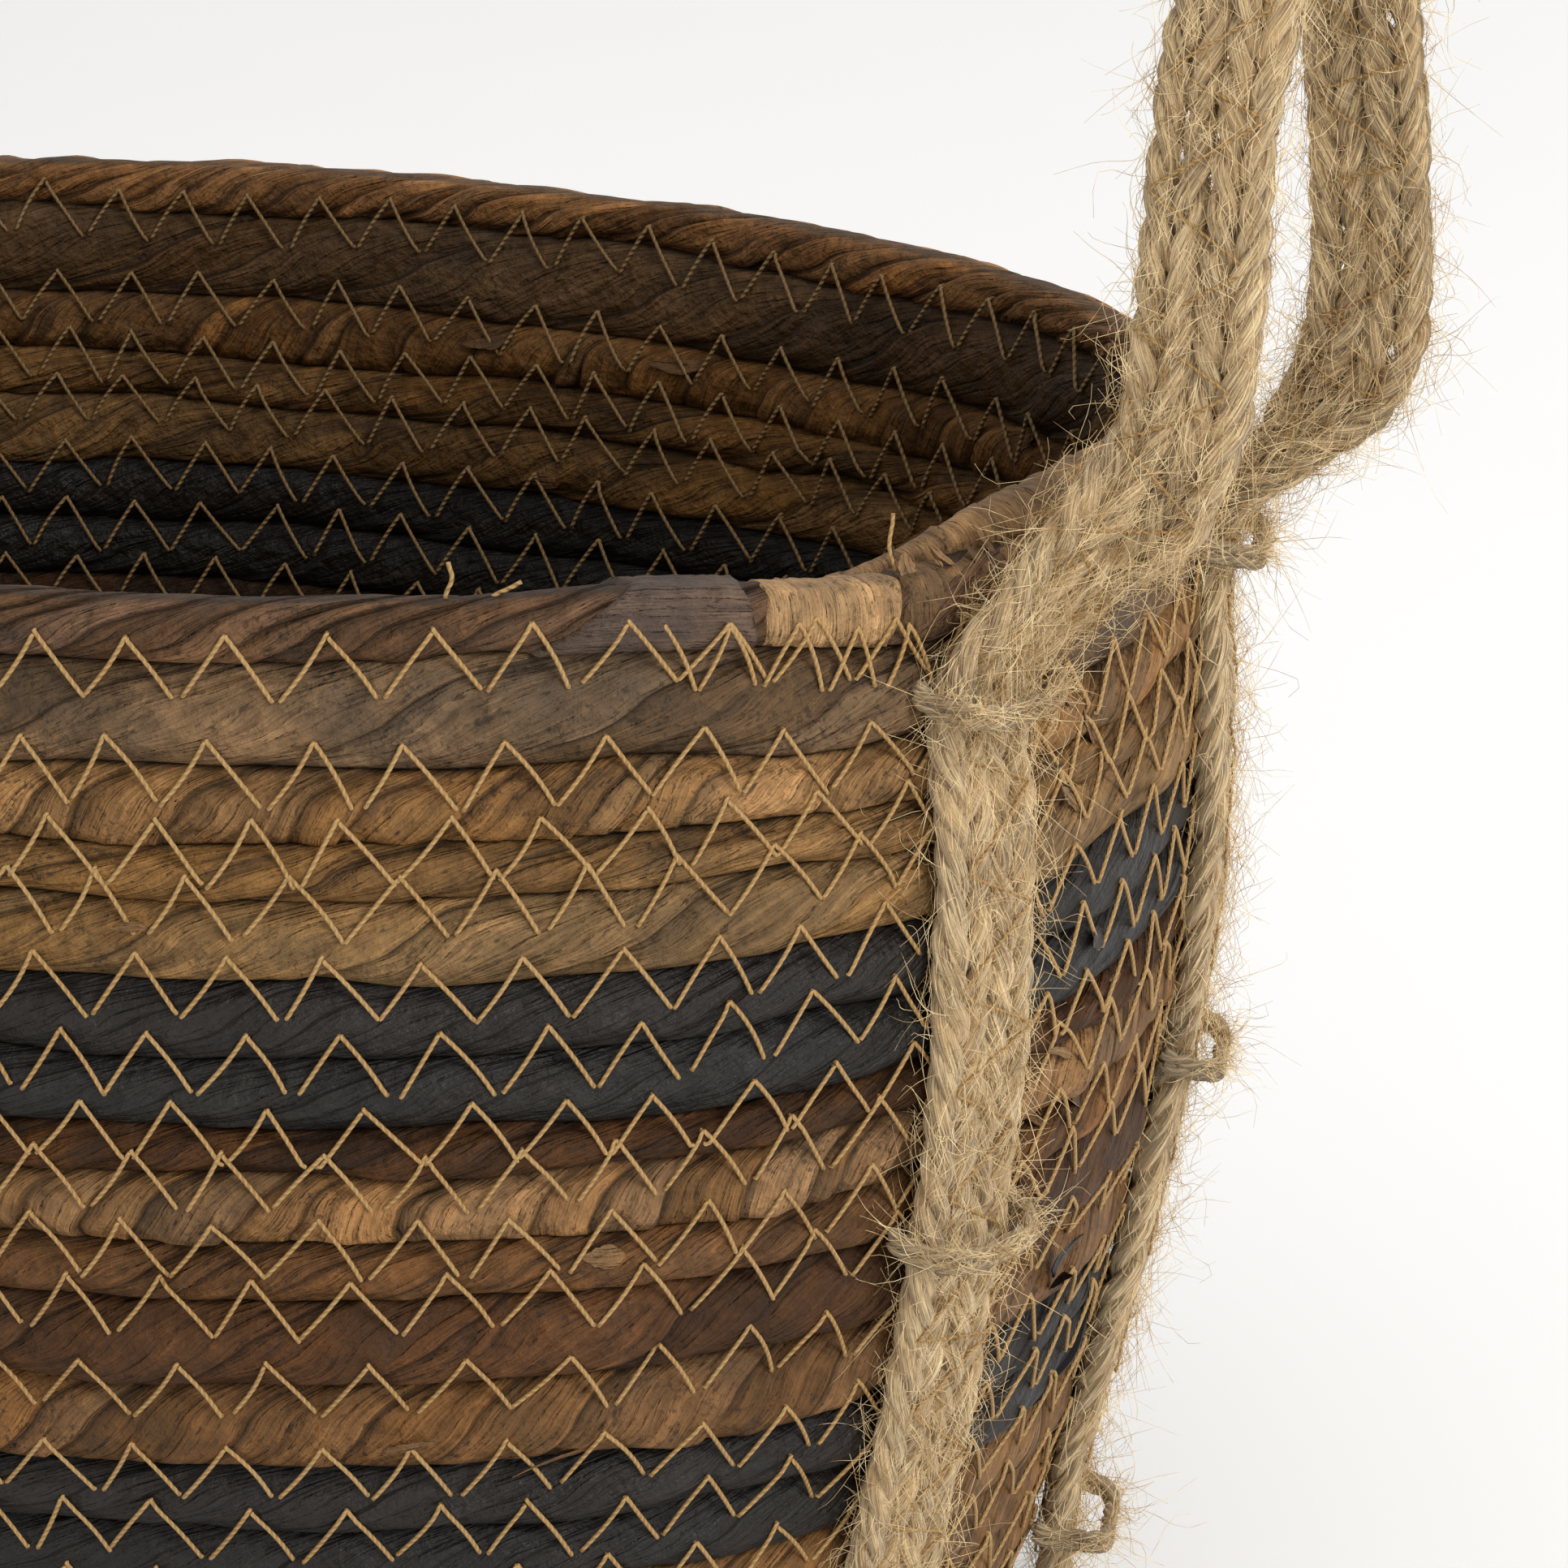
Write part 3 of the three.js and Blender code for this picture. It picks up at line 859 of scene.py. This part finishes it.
def nearest_share(inner, outer, share):
    """The inner line's share next to the outer line's share."""
    table = np.linspace(0, 1, 721)[:-1]
    points, normals = outer.sample(table * outer.length)
    target = points - normals * 10
    candidates = inner.sample(table * inner.length)[0]
    gap = np.linalg.norm(target[:, None] - candidates[None], axis=-1)
    match = np.unwrap(table[gap.argmin(1)] * 2 * math.pi) / (2 * math.pi)
    turns = np.floor(share)
    return np.interp(share - turns, np.append(table, 1), np.append(match, match[0] + 1)) + turns


def stretched_over(height):
    """Heights along strokes of thread pulled tight: they ride on what stands out and bridge
    what lies back."""
    chord = height[:, :1] + (height[:, -1:] - height[:, :1]) * np.linspace(0, 1, height.shape[1])
    rise = height - chord
    for _ in range(60):
        rise[:, 1:-1] = np.maximum(rise[:, 1:-1], (rise[:, :-2] + rise[:, 2:]) / 2)
    return chord + rise


def thread_object(name, parts, painted_thread_shade=0.0):
    """An object from sweeps of thread. Its shade value is 0 in the light and 1 where painted shade
    darkens the thread, on the basket's inside.
    """
    points, faces, angle, run = join(parts)
    attributes = {"angle": angle, "run": run, "painted_thread_shade": painted_thread_shade + 0 * run}
    return make_object(name, points, faces, attributes, THREAD)


def stitch(name, shown, hidden=None):
    """Stitches from (paths, ups) of the strokes on the outside and, darkened by painted shade, on the
    inside.
    """
    parts = [sweep(*side, THREAD_RADIUS, THREAD_RADIUS, 6) for side in (shown, hidden) if side]
    painted_thread_shade = np.concatenate([np.full(len(part[0]), float(i)) for i, part in enumerate(parts)])
    ride(thread_object(name, parts, painted_thread_shade))


for i, (upper, lower) in enumerate(zip(wall, wall[1:])):
    outside = Zigzag(upper, lower, 300 + i).wall_strokes(False)
    inside = Zigzag(upper, lower, 340 + i).wall_strokes(True)
    stitch(f"stitching_wall_{i + 1:02d}", outside, inside)
for i, (outer, inner) in enumerate(zip(floor, floor[1:])):
    above = Zigzag(outer, inner, 400 + i, reach=4.4).floor_strokes(False)
    below = Zigzag(outer, inner, 440 + i, reach=4.4).floor_strokes(True)
    stitch(f"stitching_floor_{i + 1:02d}", below, above)
extra = Zigzag(wall[0], wall[1], 480, span=(0.895, 0.965), pitch=8.5, shift=0.8)
stitch("stitching_doubled", extra.wall_strokes(False))

# ---- loose leaf and thread ends ----------------------------------------------------------


FLAKE_HALF = 0.09  # half of a flake's thickness


def flake_paths(spots, rng):
    """Strips of leaf that stand off a coil. A spot is (coil, s, phi, length, lift, slant)."""
    paths, ups = [], []
    share = np.linspace(0, 1, 12)[:, None]
    for coil, s, phi, length, lift, slant in spots:
        root = coil.at(np.array(s), np.array(phi), -0.35)
        out = unit(coil.at(np.array(s), np.array(phi), 1.0) - root)
        ahead, behind = (coil.at(np.array(s + step), np.array(phi)) for step in (2.0, -2.0))
        along = unit(ahead - behind)
        side = np.cross(out, along)
        head = along * math.cos(slant) + side * math.sin(slant)
        bend = rng.uniform(-0.25, 0.25) * length
        path = root + head * length * share + np.cross(out, head) * bend * share**2
        paths.append(path + out * (0.3 + 0.25 * np.sin(share * 2.2) + lift * share**2))
        ups.append(np.broadcast_to(out, path.shape))
    return np.stack(paths), np.stack(ups)


def flakes(name, spots, colour, material, seed):
    """Small pointed strips of leaf at the spots, all above the floor."""
    rng = np.random.default_rng(seed)
    paths, ups = flake_paths(spots, rng)
    paths[..., 2] = np.maximum(paths[..., 2], 2.0)
    count, steps = paths.shape[:2]
    sides = 12
    share = np.linspace(0, 1, steps)[None]
    blunt = rng.uniform(0.6, 1.3, (count, 1))
    taper = np.sin(math.pi * np.clip(share**0.8 * 0.95 + 0.04, 0, 1)) ** blunt
    width = rng.uniform(0.6, 1.7, (count, 1)) * taper
    width = width * (1 + 0.18 * rng.uniform(-1, 1, (count, steps)))
    twist = rng.uniform(-0.5, 0.5, (count, 1, 1)) * share[..., None]
    side = np.cross(unit(np.gradient(paths, axis=1)), ups)
    points, faces, angle, run = sweep(paths, unit(ups + side * twist), width, FLAKE_HALF, sides)
    shade = rng.uniform(0.7, 1.5, (count, 1, 1, 1)) * np.ones((count, steps, sides, 1))
    tint = (np.array(colour) * shade).reshape(-1, 3)
    across = (width[..., None] * np.cos(angle.reshape(count, steps, sides))).ravel()
    fibre = np.stack([run, across, shade.ravel() * 9], -1)
    attributes = {"tint": tint, "fibre": fibre, "crease_shade": 0 * run}
    piece = make_object(name, points, faces, attributes, material)
    ride(piece)


def scatter(rows, count, inside, seed):
    """Random spots on some of the wall's coils."""
    rng = np.random.default_rng(seed)
    spots = []
    for _ in range(count):
        coil = wall[rng.choice(rows)]
        phi = rng.choice([-1, 1]) * rng.uniform(0.2, 1.1)
        phi = math.pi - phi if inside else phi
        spots.append((
            coil, rng.uniform(0, coil.line.length), phi, rng.uniform(4.0, 12.0),
            rng.uniform(0.0, 1.25) ** 3, rng.uniform(-0.6, 0.6) + math.pi * (rng.random() < 0.4),
        ))
    return spots


NATURAL_ROWS = [1, 2, 3, 4, 7, 8, 9, 10, 11, 14, 15, 16, 17, 18]
DYED_ROWS = [5, 6, 12, 13]
flakes("loose_leaf_outside", scatter(NATURAL_ROWS, 60, False, 51), (0.17, 0.09, 0.036), LEAF, 52)
# Painted shade: the flakes inside the basket are given about half the outside flakes' colour.
flakes("loose_leaf_inside", scatter(NATURAL_ROWS, 56, True, 53), (0.085, 0.042, 0.016), LEAF, 54)
flakes("loose_black_leaf", scatter(DYED_ROWS, 14, False, 55), (0.016, 0.013, 0.011), BLACK, 56)
# Leaf ends that stand off at the front right: the black leaf's start and end beside the
# front strap, a wide black flap above the lower band, and frayed ends under the rim's tail.
black_ends = [
    (wall[5], -22, 0.5, 9, 0.6, 2.9), (wall[5], -22, -0.3, 8, 0.5, 3.3),
    (wall[6], -6, 0.4, 8, 1.0, 3.0), (wall[11], -4, -0.2, 9, 3.6, 1.9),
    (wall[11], -3, -0.6, 8, 2.8, 2.3),
]
flakes("black_leaf_ends", black_ends, (0.014, 0.011, 0.010), BLACK, 57)
rim_ends = [
    (wall[0], s, 1.1, 3.0 + (s % 4) * 0.7, 1.6, 0.6 + (s % 5) * 0.5)
    for s in (-48, -43, -41, -36, -33)
]
side_places = ((1, -12), (2, -18), (3, -9), (4, -15), (8, -12), (9, -5))
side_ends = [(wall[row], s, 0.3, 10, 1.6, 2.6) for row, s in side_places]
flakes("frayed_leaf_ends", rim_ends + side_ends, (0.22, 0.125, 0.055), LEAF, 58)


# Each tail's place along the rim, height, lean along the rim and lean inwards, in mm.
THREAD_TAILS = [(-109.5, 4.2, 0.4, 0.5), (-104, 1.6, 3.6, -0.6), (-49, 7.0, 1.0, 2.0)]


def thread_tails():
    """Ends of sewing thread left standing at the rim."""
    rim = wall[0]
    parts = []
    for s, rise, lean, back in THREAD_TAILS:
        place, normal = rim.line.sample(np.array(s))
        along = np.array([-normal[1], normal[0]])
        share = np.linspace(0, 1, 14)
        sway = 0.35 * np.sin(share * 7 + s)
        line = np.empty((14, 3))
        reach = (lean * share**2 + sway)[:, None]
        line[:, :2] = place - normal * (back * share)[:, None] + along * reach
        line[:, 2] = rim.top(s / rim.line.length) - 1.0 + (rise + 1.0) * share
        up = np.broadcast_to(np.append(normal, 0.0), line.shape)
        parts.append(sweep(line[None], up[None], 0.3, 0.27, 6))
    ride(thread_object("thread_tails", parts))


thread_tails()

# ---- jute handles ------------------------------------------------------------------------

STRAP_ANGLE = math.radians(18.5)  # between +X and the wall's normal behind a strap
STRAP_PLACE = (149.0, 39.5)  # where a back leg crosses the wall's outside, in plan
STRAP_THICK = 5.0
SUPPORT = 4.0  # a coil's bulge holds a strap this much lower down
CORDS = 4
CORD_PITCH = 4.2
PLY_RADIUS = 1.3
PLY_OFFSET = 1.16  # from a cord's middle to the middle of each ply
PLY_PITCH = 15.0  # mm for one turn of the plies
BEND_SAMPLE = 188  # mm along the strap from a foot to where it bends over the rim
FIBRE_BATCHES = 4  # pieces of fibres on each handle, to keep each mesh small
LOOSE_FIBRES = 1250  # in each batch
CLINGING_FIBRES = 2400
FIBRES_AT_BENDS = 0.13  # the share that is gathered where the strap bends over the rim
LONGEST_HAIR = 10.0
TIE_FIBRES = 260
TIE_RADIUS = 1.6
TIE_STEP = 0.8
# The right loop's middle line from its lower back end to its top, in mm as in the CAD.
LOOP_LINE = [
    (161.5, 37, 186), (169.8, 35.9, 195), (174.2, 33.4, 206), (175, 30, 225),
    (175, 24, 248), (175, 13.5, 265.5), (175, 0, 271.5),
]


def wall_inset(height):
    """How far the wall lies inside the rim behind a strap at a height."""
    below = np.clip((RIM_TOP - height - SUPPORT - 55) / 135, 0, 1)
    return 29 * below**1.5


def leg_line():
    """A back leg's middle line from its foot up, on the right handle."""
    heights = np.array([7, 18, 30, 50, 75, 100, 125, 150, 171])
    flare = 5 * (1 - np.clip((heights - 7) / 28, 0, 1)) ** 2
    off = STRAP_THICK / 2 - 0.8 + flare - wall_inset(heights)
    x = STRAP_PLACE[0] + off * math.cos(STRAP_ANGLE)
    y = STRAP_PLACE[1] + off * math.sin(STRAP_ANGLE)
    return np.stack([x, y, heights], 1)


def between(first, last, start, stop, t):
    """The point at t on the straight way from first at start to last at stop."""
    return ((stop - t) * first + (t - start) * last) / (stop - start)


def curve_through(points, step):
    """A centripetal Catmull-Rom curve through points, resampled to even steps."""
    points = np.asarray(points, float)
    ends = 2 * points[0] - points[1], 2 * points[-1] - points[-2]
    p = np.vstack([ends[0], points, ends[1]])
    knots = np.concatenate([[0], np.sqrt(np.linalg.norm(np.diff(p, axis=0), axis=1)).cumsum()])
    dense = []
    for i in range(1, len(p) - 2):
        t = np.linspace(knots[i], knots[i + 1], 40, endpoint=False)[:, None]
        k = knots[i - 1 : i + 3]
        level = p[i - 1 : i + 3]
        a = [between(level[j], level[j + 1], k[j], k[j + 1], t) for j in range(3)]
        b = [between(a[j], a[j + 1], k[j], k[j + 2], t) for j in range(2)]
        dense.append(between(b[0], b[1], k[1], k[2], t))
    dense = np.vstack([*dense, points[-1:]])
    at = np.concatenate([[0], np.linalg.norm(np.diff(dense, axis=0), axis=1).cumsum()])
    even = np.linspace(0, at[-1], int(at[-1] / step) + 1)
    return np.stack([np.interp(even, at, dense[:, i]) for i in range(3)], 1)


def strap_frames():
    """The right strap's middle line from the front foot over the top to the back foot, with
    the directions of its width and of its face."""
    half = np.vstack([leg_line(), LOOP_LINE])
    front = half * [1, -1, 1]
    line = curve_through(np.vstack([front, half[::-1][1:]]), 1.0)
    tangent = unit(np.gradient(line, axis=0))
    run = np.linspace(0, 1, len(line))
    top_of_leg = np.searchsorted(line[: len(line) // 2, 2], 177) / len(line)
    turned = smooth(np.minimum(run, 1 - run), top_of_leg, 0.36)
    quarter = (math.pi / 2 - STRAP_ANGLE) * (1 - turned) * np.where(run < 0.5, 1, -1)
    across = np.stack([-np.cos(quarter), -np.sin(quarter), 0 * quarter], 1)
    across = unit(across - tangent * (across * tangent).sum(1, keepdims=True))
    return line, across, np.cross(tangent, across)


def twisted_cord(line, up, seed, hand, phase):
    """A cord of three plies wound round a line."""
    rng = np.random.default_rng(seed)
    tangent = unit(np.gradient(line, axis=0))
    side = unit(np.cross(tangent, up))
    face = np.cross(side, tangent)
    run = np.concatenate([[0], np.linalg.norm(np.diff(line, axis=0), axis=1).cumsum()])
    wobble = Ripple(rng, 128, 3)
    pitch = PLY_PITCH * rng.uniform(0.88, 1.14)
    paths = []
    for ply in range(3):
        turn = phase + hand * run / pitch * 2 * math.pi + ply * 2 * math.pi / 3
        turn = turn + 0.45 * wobble(run / 17 + 40, 0 * run + ply)
        reach = PLY_OFFSET * (1 + 0.24 * wobble(run / 6, 0 * run + ply))
        off = side * (np.cos(turn) * reach)[:, None] + face * (np.sin(turn) * reach)[:, None]
        paths.append(line + off)
    paths = np.stack(paths)
    ups = np.broadcast_to(face, paths.shape)
    radius = PLY_RADIUS * (1 + 0.16 * wobble(run / 7 + 20, 0 * run))
    return sweep(paths, ups, radius, radius, 10)


def strap_lines(line, across, face):
    """The four cords' middle lines. Neighbours part a little at the feet, where each pair
    turns back into each other in a loop with an eye."""
    run = np.linspace(0, 1, len(line))
    foot = 1 - smooth(np.minimum(run, 1 - run), 0.0, 0.045)
    rng = np.random.default_rng(5)
    sway = Ripple(rng, 40, CORDS)
    lines = []
    for cord in range(CORDS):
        off = (cord - 1.5) * CORD_PITCH
        pair = 1 if cord in (1, 3) else -1
        off = off + foot * pair * 1.1 + 0.25 * sway(run * 40, 0 * run + cord)
        lift = 0.3 * sway(run * 40 + 7, 0 * run + cord)
        lines.append(line + across * off[:, None] + face * lift[:, None])
    return lines


def hairs(roots, normals, tangents, rng, lengths, radius, cling=False):
    """Loose curly fibres from points on a cord. Clinging ones lie along it."""
    count, steps = len(roots), 8
    t = np.linspace(0, 1, steps)[None, :, None]
    if cling:
        lean = rng.choice([-1.0, 1.0], (count, 1))
        sideways = np.cross(normals, tangents) * rng.normal(size=(count, 1)) * 0.75
        first = unit(tangents * lean + sideways + normals * rng.uniform(-0.05, 0.25, (count, 1)))
    else:
        lean = rng.uniform(-2.2, 2.2, (count, 1))
        first = unit(normals * 0.8 + tangents * lean + rng.normal(size=(count, 3)) * 0.5)
    bend = unit(rng.normal(size=(count, 3))) * rng.uniform(0.2, 1.0, (count, 1))
    bend = bend * (0.35 if cling else 1)
    curl = unit(rng.normal(size=(count, 3))) * rng.uniform(0.04, 0.30, (count, 1))
    lengths = lengths[:, None, None]
    path = roots[:, None] + lengths * (first[:, None] * t + bend[:, None] * t**2 / 1.6)
    path = path + lengths * curl[:, None] * np.sin(t * rng.uniform(2.5, 7, (count, 1, 1)))
    path[..., 2] = np.maximum(path[..., 2], 0.3)
    ups = np.broadcast_to(unit(rng.normal(size=(count, 1, 3))), path.shape)
    thick = radius * (1 - 0.6 * t[..., 0])
    return sweep(path, ups, thick, thick, 3)


def turn_to(piece, end):
    """Turns a piece made for the right handle to its own end."""
    if end == "left":
        piece.data.transform(Matrix.Rotation(math.pi, 4, "Z"))


def finish_handle(piece, end, nodes=()):
    """Turns a piece made for the right handle to its own end, and hides any CAD nodes that it stands
    for.
    """
    turn_to(piece, end)
    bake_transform(piece)
    if nodes:
        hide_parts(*nodes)


def jute_object(name, part, seed, material=JUTE):
    """An object from a sweep of jute. The seed sets where the material's noise starts."""
    points, faces, angle, run = part
    attributes = {"angle": angle, "run": run, "strand": np.full(len(points), float(seed))}
    return make_object(name, points, faces, attributes, material)


def make_handle(end):
    """One strap: four cords, the loops at its feet, its sewing thread and its fibres."""
    line, across, face = strap_frames()
    lines = strap_lines(line, across, face)
    cad = [f"{end}_handle_loop", f"{end}_front_leg_strap", f"{end}_back_leg_strap"]
    seed = 500 if end == "right" else 600
    for cord, path in enumerate(lines):
        hand = 1 if cord % 2 else -1
        part = twisted_cord(path, face, seed + cord, hand, cord * 1.9)
        piece = jute_object(f"{end}_strap_cord_{cord + 1}", part, seed + cord)
        finish_handle(piece, end, cad)
    foot_loops(end, lines, across, face, seed + 30)
    strap_thread(end, line, across, face, seed)
    strap_fuzz(end, lines, across, face, seed)


def foot_loops(end, lines, across, face, seed):
    """Where each pair of cords turns back into each other at a foot, in a loop with an eye."""
    parts = []
    for foot in (0, -1):
        for pair in (0, 2):
            a, b = lines[pair][foot], lines[pair + 1][foot]
            down = unit(lines[pair][foot] - lines[pair][4 if foot == 0 else -5])
            turn = np.linspace(0, math.pi, 18)[:, None]
            middle, half = (a + b) / 2, (a - b) / 2
            reach = np.linalg.norm(half) * 1.05
            arc = middle + half * np.cos(turn) + down * reach * np.sin(turn)
            up = np.broadcast_to(face[foot], arc.shape)
            parts.append(twisted_cord(arc, up, seed + pair, 1, 0.5))
    piece = jute_object(f"{end}_strap_foot_loops", join(parts), seed)
    turn_to(piece, end)
    ride(piece)


def sample_rows(rows, where):
    """Rows of an array at places between them."""
    index = np.arange(len(rows))
    return np.stack([np.interp(where, index, rows[:, i]) for i in range(3)], 1)


def strap_thread(end, line, across, face, seed):
    """The loose zigzag that holds the four cords together, on both faces of the strap."""
    rng = np.random.default_rng(seed + 20)
    parts = []
    for side in (-1, 1):
        at = np.arange(6, len(line) - 6, 8.0)
        at = at + rng.uniform(-2.5, 2.5, len(at))
        reach = 6.8 * np.where(np.arange(len(at)) % 2, 1, -1) + rng.uniform(-1.5, 1.0, len(at))
        dense = np.linspace(0, len(at) - 1.001, len(at) * 9)
        where = np.interp(dense, np.arange(len(at)), at)
        off = np.interp(dense, np.arange(len(at)), reach)
        middle, wide, out = (sample_rows(a, where) for a in (line, across, face))
        bulge = 2.3 + 0.35 * np.abs(np.cos(off / CORD_PITCH * math.pi + math.pi / 2))
        path = middle + wide * off[:, None] + out * (side * bulge)[:, None]
        parts.append(sweep(path[None], out[None], 0.22, 0.22, 6))
    finish_handle(thread_object(f"{end}_strap_thread", parts), end)


def fibre_roots(path, across, face, rng, count):
    """Points on the cords with the way out and the way along, more of them at the two bends."""
    middle = path.shape[1] // 2
    cord = rng.integers(0, CORDS, count)
    at = rng.integers(3, path.shape[1] - 3, count)
    bend = rng.choice([-1, 1], count) * rng.normal(middle - BEND_SAMPLE, 15, count)
    near = rng.random(count) < FIBRES_AT_BENDS
    at[near] = np.clip(middle + bend[near], 3, path.shape[1] - 4).astype(int)
    turn = rng.uniform(0, 2 * math.pi, count)
    normal = across[at] * np.cos(turn)[:, None] + face[at] * np.sin(turn)[:, None]
    tangent = unit(path[cord, at + 1] - path[cord, at - 1])
    return path[cord, at], normal, tangent


def strap_fuzz(end, lines, across, face, seed):
    """Thousands of fibres on the cords: some lie along them and some stand off."""
    rng = np.random.default_rng(seed + 40)
    path = np.stack(lines)
    for batch in range(FIBRE_BATCHES):
        place, normal, tangent = fibre_roots(path, across, face, rng, LOOSE_FIBRES)
        lengths = np.minimum(rng.gamma(1.5, 2.9, LOOSE_FIBRES) + 1.2, LONGEST_HAIR)
        loose = hairs(place + normal * 2.0, normal, tangent, rng, lengths, 0.045)
        place, normal, tangent = fibre_roots(path, across, face, rng, CLINGING_FIBRES)
        place = place + normal * rng.uniform(2.1, 2.8, (CLINGING_FIBRES, 1))
        lengths = rng.uniform(4, 15, CLINGING_FIBRES)
        clinging = hairs(place, normal, tangent, rng, lengths, 0.062, True)
        both = join([loose, clinging])
        piece = jute_object(f"{end}_strap_fibres_{batch + 1}", both, seed, FUZZ)
        finish_handle(piece, end)


def tie_line(side, height):
    """A tie's middle line over a strap, on the right handle."""
    out = np.array([math.cos(STRAP_ANGLE), side * math.sin(STRAP_ANGLE), 0])
    along = np.array([-out[1], out[0], 0])
    flare = 2.5 if height < 35 else 0
    over = STRAP_THICK + 0.8 + TIE_RADIUS + flare
    shoulder = 0.62 * (over - flare) + flare
    # Half of the arch over the strap: across, out from the wall, and how much it sags.
    half = [(10.9, 0.2, -0.5), (10.8, 1.8, 0), (10.3, shoulder, 0.2), (7.9, over, 0.6)]
    arch = [(-a, o, sag) for a, o, sag in half] + [(0, over + 0.2, 1)] + half[::-1]
    inset = wall_inset(height) + 0.7
    foot = np.array([STRAP_PLACE[0], side * STRAP_PLACE[1], height])
    points = [foot + along * a + out * (0.4 + o - inset) + [0, 0, -2.5 * sag] for a, o, sag in arch]
    return curve_through(points, TIE_STEP), out


def make_ties(end):
    """The rim, middle and foot ties of both legs."""
    for side in (-1, 1):
        front = (side < 0) == (end == "right")
        place = f"{end}_{'front' if front else 'back'}"
        for kind in ("rim", "middle", "foot"):
            make_tie(end, side, f"{place}_{kind}_tie")


def make_tie(end, side, node):
    """Two turns of thin cord over a strap, with loose fibres."""
    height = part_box(node)[1][2] / MM - TIE_RADIUS
    line, out = tie_line(side, height)
    seed = 700 + len(bpy.data.objects)
    up = np.broadcast_to(np.array([0.0, 0, 1]), line.shape)
    turns = [twisted_tie(line + [0, 0, dz], up, seed + k) for k, dz in enumerate((0.0, -1.5))]
    rng = np.random.default_rng(seed)
    at = rng.integers(2, len(line) - 2, TIE_FIBRES)
    normal = unit(np.tile(out, (TIE_FIBRES, 1)) + rng.normal(size=(TIE_FIBRES, 3)) * 0.7)
    tangent = unit(line[at + 1] - line[at - 1])
    lengths = rng.gamma(2.2, 1.7, TIE_FIBRES) + 1
    fuzz = hairs(line[at] + normal * 0.9, normal, tangent, rng, lengths, 0.06)
    for name, part, material in (("jute_", join(turns), JUTE), ("fibres_", fuzz, FUZZ)):
        piece = jute_object(name + node, part, seed, material)
        turn_to(piece, end)
        ride(piece, [node])


def twisted_tie(line, up, seed):
    """One thin turn of a tie, in three plies."""
    rng = np.random.default_rng(seed)
    tangent = unit(np.gradient(line, axis=0))
    side = unit(np.cross(tangent, up))
    face = np.cross(side, tangent)
    run = np.linspace(0, 1, len(line)) * len(line) * TIE_STEP
    paths = []
    for ply in range(3):
        turn = run / 8 * 2 * math.pi + ply * 2 * math.pi / 3 + rng.uniform(0, 1)
        paths.append(line + 0.5 * (side * np.cos(turn)[:, None] + face * np.sin(turn)[:, None]))
    paths = np.stack(paths)
    return sweep(paths, np.broadcast_to(face, paths.shape), 0.62, 0.58, 8)


for end in ("right", "left"):
    make_handle(end)
    make_ties(end)

# ---- floor and light ---------------------------------------------------------------------


def studio():
    """A pale floor, an even sky and two soft lamps."""
    scene = bpy.context.scene
    s = Shader("studio_floor", 0.9)
    place = s.node("ShaderNodeTexCoord").outputs["Object"]
    speck = s.remap(s.noise(place, 3.0), 0.3, 0.7, 0.0, 1.0)
    material = s.finish(s.mix(speck, (0.94, 0.94, 0.935, 1), (0.96, 0.96, 0.955, 1)))
    mesh = bpy.data.meshes.new("studio_floor")
    size = 8.0
    corners = [(-size, -size, 0), (size, -size, 0), (size, size, 0), (-size, size, 0)]
    mesh.from_pydata(corners, [], [(0, 1, 2, 3)])
    mesh.materials.append(material)
    ground = bpy.data.objects.new("studio_floor", mesh)
    scene.collection.objects.link(ground)
    world = bpy.data.worlds.new("studio")
    world.use_nodes = True
    background = world.node_tree.nodes["Background"]
    background.inputs["Color"].default_value = (1.0, 0.99, 0.975, 1)
    background.inputs["Strength"].default_value = 0.75
    scene.world = world
    add_lamp("key", (1.5, -0.7, 1.1), 0.8, 18.5)
    add_lamp("back", (0.9, 1.6, 1.4), 1.2, 9)
    scene.view_settings.view_transform = "Standard"
    scene.view_settings.look = "None"


def add_lamp(name, place, size, power):
    data = bpy.data.lights.new(name, "AREA")
    data.size = size
    data.energy = power
    lamp = bpy.data.objects.new(name, data)
    aim = Vector((0, 0, 0.12)) - Vector(place)
    lamp.matrix_world = Matrix.Translation(place) @ aim.to_track_quat("-Z", "Y").to_matrix().to_4x4()
    bpy.context.scene.collection.objects.link(lamp)


studio()
